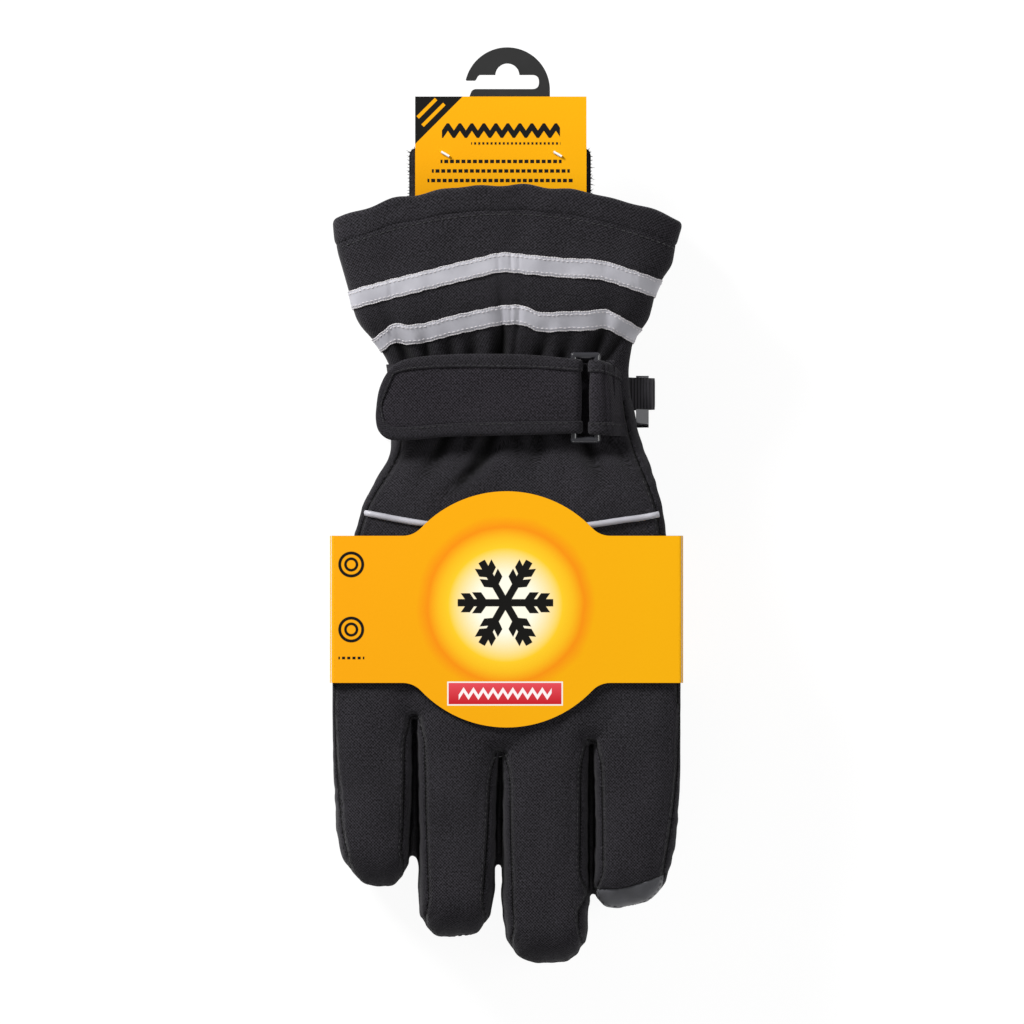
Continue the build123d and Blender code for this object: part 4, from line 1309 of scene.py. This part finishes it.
def stitched(pairs, place):
    # sewing thread along the inner edge of a binding
    both, depth = resampled(pairs, 0.7), bindingLook["stitch"]
    spot = both[:, :2] * (1 - depth) + both[:, 2:] * depth
    over, above = (place(spot[:, 0], spot[:, 1], bindingLook["lie"] + step) for step in (0, 1))
    return stitchRow(over, above - over, length=1.5, radius=0.17, pitch=2.2)


def panelOn(place, start, stop, edges, thick, puff, step=1.0):
    # a strap's middle cloth: thin slab between two edges that follow the strap's path
    along, cols = np.arange(start, stop, step), 15
    low, high = edges(along)
    q = thereAndBack(cols)
    side = np.where(np.arange(2 * cols) < cols, 1.0, -1.0)
    y = (low + high)[:, None] / 2 + (high - low)[:, None] / 2 * q
    crown = thick / 2 + puff * (1 - q**6)
    return strip(place, along, y, side * crown + 0.12 * ripple(along[:, None], y, 17, 41))


innerLine = np.array([inner for _, inner in bindingPairs])
tip = int(np.argmin(innerLine[:, 0]))


def tailEdges(along):
    # the panel reaches a little way under its binding
    upper, lower = innerLine[: tip + 1][::-1], innerLine[tip:]
    high = np.interp(along, upper[:, 0], upper[:, 1]) + 0.9
    low = np.interp(along, lower[:, 0], lower[:, 1]) - 0.9
    return low, high


panel = panelOn(tailPath.place, innerLine[tip, 0] + 0.2, 7.3, tailEdges, thick=1.0, puff=0.22)
onBoth("strap_tail", panel, "strap", "{side}_tail")
onBoth("strap_binding", boundEdge(bindingPairs, tailPath.place), "binding", "{side}_tail")
onBoth("strap_stitches", stitched(bindingPairs[1:-1], tailPath.place), "bindingThread", "{side}_tail")

patchLook = {"left": -62.6, "right": -12.6, "low": 29.2, "high": 49.4, "corner": 2.5, "pile": 0.12}


def patchSlab(base, top, seed):
    # hook or loop tape: a thin slab with softly rounded corners and an uneven pile
    left, right, low, high, corner, pile = patchLook.values()
    along = np.arange(left, right + 0.01, 1.0)
    end = np.minimum(along - left, right - along)
    inset = np.where(end < corner, corner - np.sqrt(np.maximum(corner**2 - (corner - end) ** 2, 0)), 0)
    cols = 21
    y = (low + high) / 2 + ((high - low) / 2 - inset)[:, None] * thereAndBack(cols)
    rise = np.where(np.arange(2 * cols) < cols, top + pile * ripple(along[:, None], y, 3.1, seed), base)
    return strip(tailPath.place, along, y, rise)


onBoth("hook_patch", patchSlab(base=-0.8, top=-2.35, seed=51), "hookAndLoop", "{side}_tail")
onBoth("loop_patch", patchSlab(base=-3.9, top=-2.75, seed=52), "hookAndLoop")


def basePlace(along, across, rise):
    # the fixed strap under the free one: its path follows the wrist's own curve, along in degrees
    return cuffPoint(np.radians(90 - along), across, 0.5 + rise)


def baseEdges(along):
    return baseLook["low"] + 0 * along, baseLook["high"] + 0 * along


baseLook = {"left": -84.0, "right": 47.0, "low": 26.4, "high": 52.2}
panel = panelOn(basePlace, baseLook["left"], baseLook["right"], baseEdges, thick=0.9, puff=0.15)
onBoth("strap_base", panel, "strap")

# Tab that holds the ring: its upper and lower edges, in pairs like the strap's
tabTop = [
    ((-13.5, 52.8), (-13.5, 48.4)), ((-6, 52.9), (-6, 48.5)), ((0, 53), (0, 48.6)), ((4, 52), (3.6, 47.9)),
    ((7.2, 50.6), (6.6, 46.8)), ((9.6, 49.2), (9.4, 45.6)),
]
tabLow = [
    ((-13.5, 25.8), (-13.5, 30.4)), ((0, 25.7), (0, 30.3)), ((8, 25.4), (8, 30.1)), ((14.5, 25.2), (14.3, 29.9)),
]
tabEnd, tabStart = 14.5, -13.5


def tabEdges(along):
    high = np.interp(along, *np.array([inner for _, inner in tabTop]).T)
    low = np.interp(along, [0, 8, 14.3], [30.3, 30.1, 29.9])
    return low - 0.9, high + 0.9


def tabPlace(along, across, rise):
    # the tab's end is cut at a slant, so its upper rows run out sooner, and they lie down to the cuff
    reach = np.interp(across, [25.2, 49.2], [tabEnd, 9.6])
    points = tabPath.place(np.where(along > 0, along * reach / tabEnd, along), across, rise)
    drop = cuffTop(points[..., 0], np.broadcast_to(across, points[..., 0].shape)) + 0.7 + rise
    press = ramp(np.clip(along / tabEnd, 0, 1), 0.35, 1.0)
    points[..., 2] = points[..., 2] * (1 - press) + drop * press - 0.5 * bell(along - 3.6, 0.7)
    return points


def flatOut(place, end):
    # a place on the slanted end before it was cut
    along, across = place
    return (along * tabEnd / end if along > 0 else along), across


panel = panelOn(tabPlace, tabStart, 14.4, tabEdges, thick=1.0, puff=0.12, step=0.6)
onBoth("ring_tab", panel, "strap")
tabPairs = [[(flatOut(outer, 9.6), flatOut(inner, 9.4)) for outer, inner in tabTop], tabLow]
edged = [boundEdge(pairs, tabPlace, 0.7) for pairs in tabPairs]
spread = np.concatenate([shape[2] for shape in edged])
onBoth("ring_tab_binding", (*joined([shape[:2] for shape in edged]), spread), "binding")
onBoth("ring_tab_stitches", joined([stitched(pairs, tabPlace) for pairs in tabPairs]), "bindingThread")

# Webbing loop at the side of the wrist
turned = halfTurn(52.0, 7.0, 1.9, -90, 90, 12)
loopPath = Path([(42.6, 5.1), (50.6, 5.1)] + turned + [(50.6, 8.9), (42.6, 8.9)], 0)
webLook = {
    "length": 24.0, "low": 34.9, "high": 46.4, "thick": 0.95, "rib": 1.15, "relief": 0.09, "skew": 0.03,
    "cols": 9,
}
along = np.arange(0, webLook["length"], 0.12)
q = thereAndBack(webLook["cols"])
side = np.where(np.arange(2 * webLook["cols"]) < webLook["cols"], -0.5, 0.5)
rib = webLook["relief"] * np.abs(np.sin(np.pi * along / webLook["rib"]))[:, None]
rise = side * (webLook["thick"] - 0.25 * (np.abs(q) > 0.98)) + np.sign(side) * rib
across = (webLook["low"] + webLook["high"]) / 2 + (webLook["high"] - webLook["low"]) / 2 * q
across = across + webLook["skew"] * (along[:, None] - webLook["length"] / 2)
onBoth("webbing_loop", strip(loopPath.place, along, across, rise), "webbing")
print("strap, tab and webbing made")

# Plush tab behind the header card
tabLook = {"corner": 3.0, "pile": 0.3, "fibres": 1500, "fibre": 1.1, "thin": 0.09}


def plushSlab(low, high):
    # a flat slab with rounded corners and a tufted surface, and short fibres round its edge
    corner, count = tabLook["corner"], tabLook["fibres"]
    reach, centre = (high[:2] - low[:2]) / 2, (high[:2] + low[:2]) / 2
    share = np.linspace(0, 1, 34) ** 0.8
    turn = np.linspace(0, 2 * np.pi, 240, endpoint=False)
    way = np.stack([np.cos(turn), np.sin(turn)], -1)
    edge = way * np.min(reach / np.maximum(np.abs(way), 1e-6), axis=1)[:, None]
    core = np.clip(edge, -(reach - corner), reach - corner)
    lean = edge - core
    edge = core + lean / np.maximum(np.linalg.norm(lean, axis=1, keepdims=True), corner) * corner
    rows = []
    for face, f in [(1, f) for f in share] + [(-1, f) for f in share[::-1]]:
        spot = edge * f
        height = (high[2] + low[2]) / 2 + face * (high[2] - low[2]) / 2 * (1 - f**26) ** 0.5
        tuft = tabLook["pile"] * (ripple(*spot.T, 2.6, 61) + ripple(*spot.T, 1.3, 62)) / 2
        rows.append(np.column_stack([spot + centre, height + face * tuft * 0.7 - face * 0.25]))
    points, faces = tube(np.array(rows)[1:-1])
    where = dice.integers(0, len(edge), count)
    root = np.column_stack([edge[where] * 0.995 + centre, dice.uniform(low[2] + 0.3, high[2] - 0.3, count)])
    way = np.column_stack([unit(lean[where]), dice.normal(0, 0.5, count)]) + dice.normal(0, 0.35, (count, 3))
    way *= (dice.uniform(0.4, 1.0, count) * tabLook["fibre"])[:, None]
    across, up = np.cross(way, [0, 0, 1.0]) * tabLook["thin"], np.array([0, 0, tabLook["thin"]])
    hair = np.stack([root + across, root - across, root + up, root + way], 1)
    corners = ((0, 1, 3), (1, 2, 3), (2, 0, 3), (0, 2, 1))
    hairFaces = [[4 * n + i for i in face] for n in range(count) for face in corners]
    return joined([(points, outward(points, faces)), (hair.reshape(-1, 3), hairFaces)])


points, faces = plushSlab(*span("backing_tab"))
tabMesh = meshOf("backing_tab", points + [0, 0, middle], faces)
stand("backing_tab_cloth", tabMesh, "plush", hidden=["backing_tab"])

# The plastic hook's edge, anticlockwise: (x, height over the card's top, corner radius),
# arcs as (centre, radius, from, to).
hookLook = {
    "edge": [
        (-13.6, -11.9, 1.0), (15.9, -11.9, 1.0), ((0.25, 2.4), 15.65, 0, 166), (-14.7, 5.8, 0.5),
        (-11.4, 5.8, 0.7), (-10.2, 7.9, 1.3), (-4.1, 7.9, 0.4), ((0.3, 7.7), 4.4, 177, 3), (4.7, 7.9, 0.4),
        (11.9, 7.9, 2.5), (11.9, 2.75, 2.5), (-12.6, 2.75, 2.6), (-13.6, 0.0, 0.8),
    ],
    "round": 0.22,
}


def roundedLoop(corners):
    # straight sides between corners, each corner an arc of its radius, with whole arcs as listed
    spots = []
    for entry in corners:
        if isinstance(entry[0], tuple):
            (cx, cy), radius, start, stop = entry
            turn = np.radians(np.linspace(start, stop, 60))
            spots += [(cx + radius * np.cos(t), cy + radius * np.sin(t), 0.0) for t in turn]
        else:
            spots.append(entry)
    line = []
    for i, (x, y, radius) in enumerate(spots):
        here = np.array([x, y])
        before, after = (np.array(spots[j % len(spots)][:2]) - here for j in (i - 1, i + 1))
        a, b = before / np.linalg.norm(before), after / np.linalg.norm(after)
        half = np.arccos(np.clip(a @ b, -1, 1)) / 2
        room = min(np.linalg.norm(before), np.linalg.norm(after)) / 2
        back = min(radius / np.tan(half), room) if radius else 0
        share = np.linspace(0, 1, 9)[:, None] if radius else np.zeros((1, 1))
        line.append(here + (1 - share) ** 2 * a * back + share**2 * b * back)
    return np.concatenate(line)


def plateOf(loop, low, high, soft):
    # a plate of an outline: its edge eased over at both faces, the faces filled flat
    ahead = unit(np.roll(loop, -1, 0) - np.roll(loop, 1, 0))
    inward = np.stack([-ahead[:, 1], ahead[:, 0]], -1)
    turn = np.linspace(0, np.pi / 2, 4)
    easing = [(soft * (1 - np.sin(t)), low + soft * (1 - np.cos(t))) for t in turn]
    easing += [(soft * (1 - np.cos(t)), high - soft * (1 - np.sin(t))) for t in turn]
    level = np.ones(len(loop))
    rings = np.array([np.column_stack([loop + inward * shift, level * height]) for shift, height in easing])
    caps = np.array(tessellate_polygon([[Vector((px, py, 0)) for px, py in rings[0][:, :2]]]))
    a, b, c = (rings[0][caps[:, k]][:, :2] for k in range(3))
    flipped = np.cross(b - a, c - a) > 0
    caps[flipped] = caps[flipped][:, ::-1]
    faces = gridFaces(len(rings), len(loop), closedCols=True).tolist()
    faces += caps.tolist() + (caps[:, ::-1] + (len(rings) - 1) * len(loop)).tolist()
    return rings.reshape(-1, 3), faces


cardTop = span("header_card")[1][1]
hookLow, hookHigh = span("hang_hook")[:, 2] + middle
points, faces = plateOf(roundedLoop(hookLook["edge"]) + [0, cardTop], hookLow, hookHigh, hookLook["round"])
hookPlate = meshOf("hang_hook", points, outward(points, faces))
hookPlate.polygons.foreach_set("use_smooth", np.zeros(len(hookPlate.polygons), bool))
stand("hang_hook_plate", hookPlate, "hook", hidden=["hang_hook"])


# Printed cards
def rowOf(x, y, left, right, level, tall):
    # 1 inside a long box about a level
    return (y - level).size().below(tall / 2, 0.12).least(x.above(left, 0.12)).least(x.below(right, 0.12))


def stripeRow(x, y, left, right, level, tall, pitch, share):
    # a row of short bars, like running stitches: 1 on the bars
    beat = x.maths("PINGPONG", x - left, pitch / 2)
    return beat.below(pitch / 2 * share, 0.12).least(rowOf(x, y, left, right, level, tall))


def chevronRow(x, y, left, right, level, tall, pitch, thick):
    # a row of knitted Vs: 1 on their strokes
    beat = x.maths("PINGPONG", x - left, pitch / 2) * (tall / pitch * 1.2)
    stroke = (y - level + tall * 0.3 - beat).size().below(thick, 0.12)
    return stroke.least(rowOf(x, y, left, right, level, tall))


def farFrom(x, y, cx, cy):
    # distance from a centre
    px, py = x - cx, y - cy
    return px.maths("SQRT", px * px + py * py)


def flake(x, y, cx, cy, arm, thick):
    # a six-armed snow crystal, from the distance to its nearest arm and two pairs of twigs
    radius, angle = farFrom(x, y, cx, cy), x.maths("ARCTAN2", y - cy, x - cx)
    fold = angle.maths("PINGPONG", angle + np.pi, np.pi / 6)
    along, off = radius * fold.maths("COSINE", fold), radius * fold.sine()
    shape = off.below(thick, 0.15).least(radius.below(arm, 0.15))
    for start, reach in ((0.45, 0.22), (0.7, 0.2)):
        twig = (along - off * 0.7 - arm * start).size().below(thick * 1.25, 0.15)
        shape = shape.most(twig.least(off.below(arm * reach, 0.15)))
    return shape


def ringOf(x, y, cx, cy, radius, thick):
    return (farFrom(x, y, cx, cy) - radius).size().below(thick, 0.15)


def boxOf(x, y, left, right, low, high):
    inside = x.above(left, 0.12).least(x.below(right, 0.12))
    return inside.least(y.above(low, 0.12)).least(y.below(high, 0.12))


def cardStock(name):
    # satin printed board: a warm yellow that drifts across the card, with faint fibre grain
    card = Finish(name, roughness=0.6, Specular_IOR_Level=0.12)
    spot = card.place()
    x, y, z = card.parts(spot)
    base = card.mix((x + card.noise(spot, 0.03, 2.0) * 20 - 8).above(0, 110.0), ink("f4a506"), ink("f5b002"))
    card.bump(card.noise(spot, 1.2, 3.0), 0.03, 0.6)
    return card, x, y, z, base


def headerPrint():
    # a dark corner with two yellow bars, a knitted row and rows of dashes
    card, x, y, _, base = cardStock("header_card_print")
    low, high = span("header_card")
    slant, along = (x - low[0]) - (y - high[1]), (x - low[0]) + (y - high[1])
    dark = slant.below(17.4, 0.12)
    for level, tall, left, right, pitch, share in (            # share is how much of a pitch is inked
        (132.5, 0.9, -13.0, 19.8, 1.5, 0.5),
        (125.9, 1.3, -24.2, 20.2, 2.1, 0.7),
        (122.4, 1.3, -27.4, 23.2, 2.1, 0.7),
        (118.9, 1.3, -29.0, 24.6, 2.1, 0.7),
    ):
        dark = dark.most(stripeRow(x, y, left, right, level, tall, pitch, share))
    dark = dark.most(chevronRow(x, y, -23.7, 19.6, 137.2, 5.4, 4.4, 1.7))
    for level in (8.6, 13.4):
        bars = (slant - level).size().below(0.9, 0.15).least(along.size().below(4.6 + level * 0.25, 0.15))
        dark = dark.least(1 - bars)
    card.feed(Base_Color=card.mix(dark, base, ink("161514")))
    return card.material


sleeveLook = {"centre": (-0.4, -36.6), "front": 57.2, "outside": (64.25, 28.65), "badge": -56.8}


def sleevePrint():
    # a glowing disc with a snow crystal, two small badges and a red plate on the front; grey inside
    card, x, y, z, base = cardStock("sleeve_print")
    cx, cy = sleeveLook["centre"]
    radius = farFrom(x, y, cx, cy)
    halo = (radius + card.noise(card.place(), 0.06, 3.0) * 3.0 - 30.2).size().below(2.2, 4.2)
    printed = card.mix(halo * 0.75, base, ink("f5880c"))
    art = flake(x, y, cx, cy + 0.8, 17.5, 1.35)
    for level in (-21.8, -45.6):
        for size, thick in ((4.2, 0.55), (2.1, 0.5)):
            art = art.most(ringOf(x, y, sleeveLook["badge"], level, size, thick))
    art = art.most(stripeRow(x, y, -61.5, -52.0, -56.0, 1.0, 1.9, 0.6))
    plate = boxOf(x, y, -21.2, 20.1, -72.9, -65.1)
    red = card.mix((y + 69).above(0, 9.0), ink("c20d1a"), ink("e8505c"))
    for mask, colour in (
        (radius.below(24.0, 9.0), ink("fcd02a")),
        (radius.below(15.5, 11.0), ink("fffbe8")),
        (art, ink("12110f")),
        (boxOf(x, y, -21.7, 20.6, -73.4, -64.6), ink("f6efe9")),
        (plate, red),
        (chevronRow(x, y, -17.5, 16.5, -69.0, 4.6, 3.6, 0.95).least(plate), ink("fbf2f2")),
    ):
        printed = card.mix(mask, printed, colour)
    width, height = sleeveLook["outside"]
    outside = (x.size() - width).most((z - middle).size() - height).above(0, 0.1)
    shown = card.mix(z.above(sleeveLook["front"], 0.1), base, printed)
    card.feed(Base_Color=card.mix(outside, ink("cfcac0"), shown))
    return card.material


def dress(node, finish):
    # a finish on a CAD piece's own slots
    piece = nodes[node]
    if not piece.material_slots:
        piece.data.materials.append(finish)
    for slot in piece.material_slots:
        slot.material = finish


dress("header_card", headerPrint())
dress("band_sleeve", sleevePrint())
dress("tacks", moulded("tack_plastic", "ececea", 0.4))
dress("pair_clip", polishedSteel("clip_steel"))
ringPlastic = moulded("ring_plastic", "29292d", 0.25, coat=0.8)
for side in sides:
    dress(f"{side}_slider_ring", ringPlastic)
print("cards printed and hardware finished")

# Stage: the camera looks straight down on the pair
studio = {
    "lens": 1000.0, "field": 374.8, "centre": (2.0, -2.6), "focus": 50.0,
    "white": (1, 1, 1, 1), "floor": 9000, "glow": 1.08,
}
camera = link(bpy.data.objects.new("camera", bpy.data.cameras.new("camera")))
camera.data.lens = studio["lens"]
standOff = studio["lens"] / camera.data.sensor_width * studio["field"]
camera.location = Vector((*studio["centre"], studio["focus"] + standOff)) * mm
bpy.context.scene.camera = camera
for name, place, width, power in (
    ("key", (-0.85, 0.9, 0.7), 0.4, 27),
    ("fill", (1.1, -0.1, 0.9), 0.8, 6),
    ("foot", (-0.4, -1.3, 0.9), 0.8, 3.5),
):
    light = link(bpy.data.objects.new(name, bpy.data.lights.new(name, "AREA")))
    light.data.shape, light.data.size, light.data.energy = "SQUARE", width, power
    light.location = place
    light.rotation_mode = "QUATERNION"
    light.rotation_quaternion = (-Vector(place)).to_track_quat("-Z", "Y")
world = bpy.data.worlds.new("world")
world.use_nodes = True
world.node_tree.nodes["Background"].inputs["Color"].default_value = studio["white"]
world.node_tree.nodes["Background"].inputs["Strength"].default_value = 0.22
bpy.context.scene.world = world

# the floor is white paper that shows a little brighter to the camera than its light alone would make it
paper = Finish("paper", roughness=0.9, Base_Color=(0.86, 0.86, 0.86, 1))
rays = ("Is Camera Ray", "Is Glossy Ray", "Is Transmission Ray")
seenBy = [paper.node("ShaderNodeLightPath", {}, {}, ray) for ray in rays]
share = seenBy[0].most(seenBy[1]).most(seenBy[2]) * 0.86
glow = paper.node("ShaderNodeEmission", {}, {"Color": studio["white"], "Strength": studio["glow"]})
plain = Wire(paper, paper.shader.outputs[0])
seen = paper.node("ShaderNodeMixShader", {}, {0: share, 1: plain, 2: glow})
paper.tree.links.new(seen.socket, paper.tree.nodes["Material Output"].inputs["Surface"])
floorPoints = np.array([(-1, -1, 0), (1, -1, 0), (1, 1, 0), (-1, 1, 0)]) * studio["floor"]
floor = link(bpy.data.objects.new("floor", meshOf("floor", floorPoints, [[0, 1, 2, 3]])))
floor.data.materials.append(paper.material)
bpy.context.scene.view_settings.view_transform = "Standard"
print("stage set")
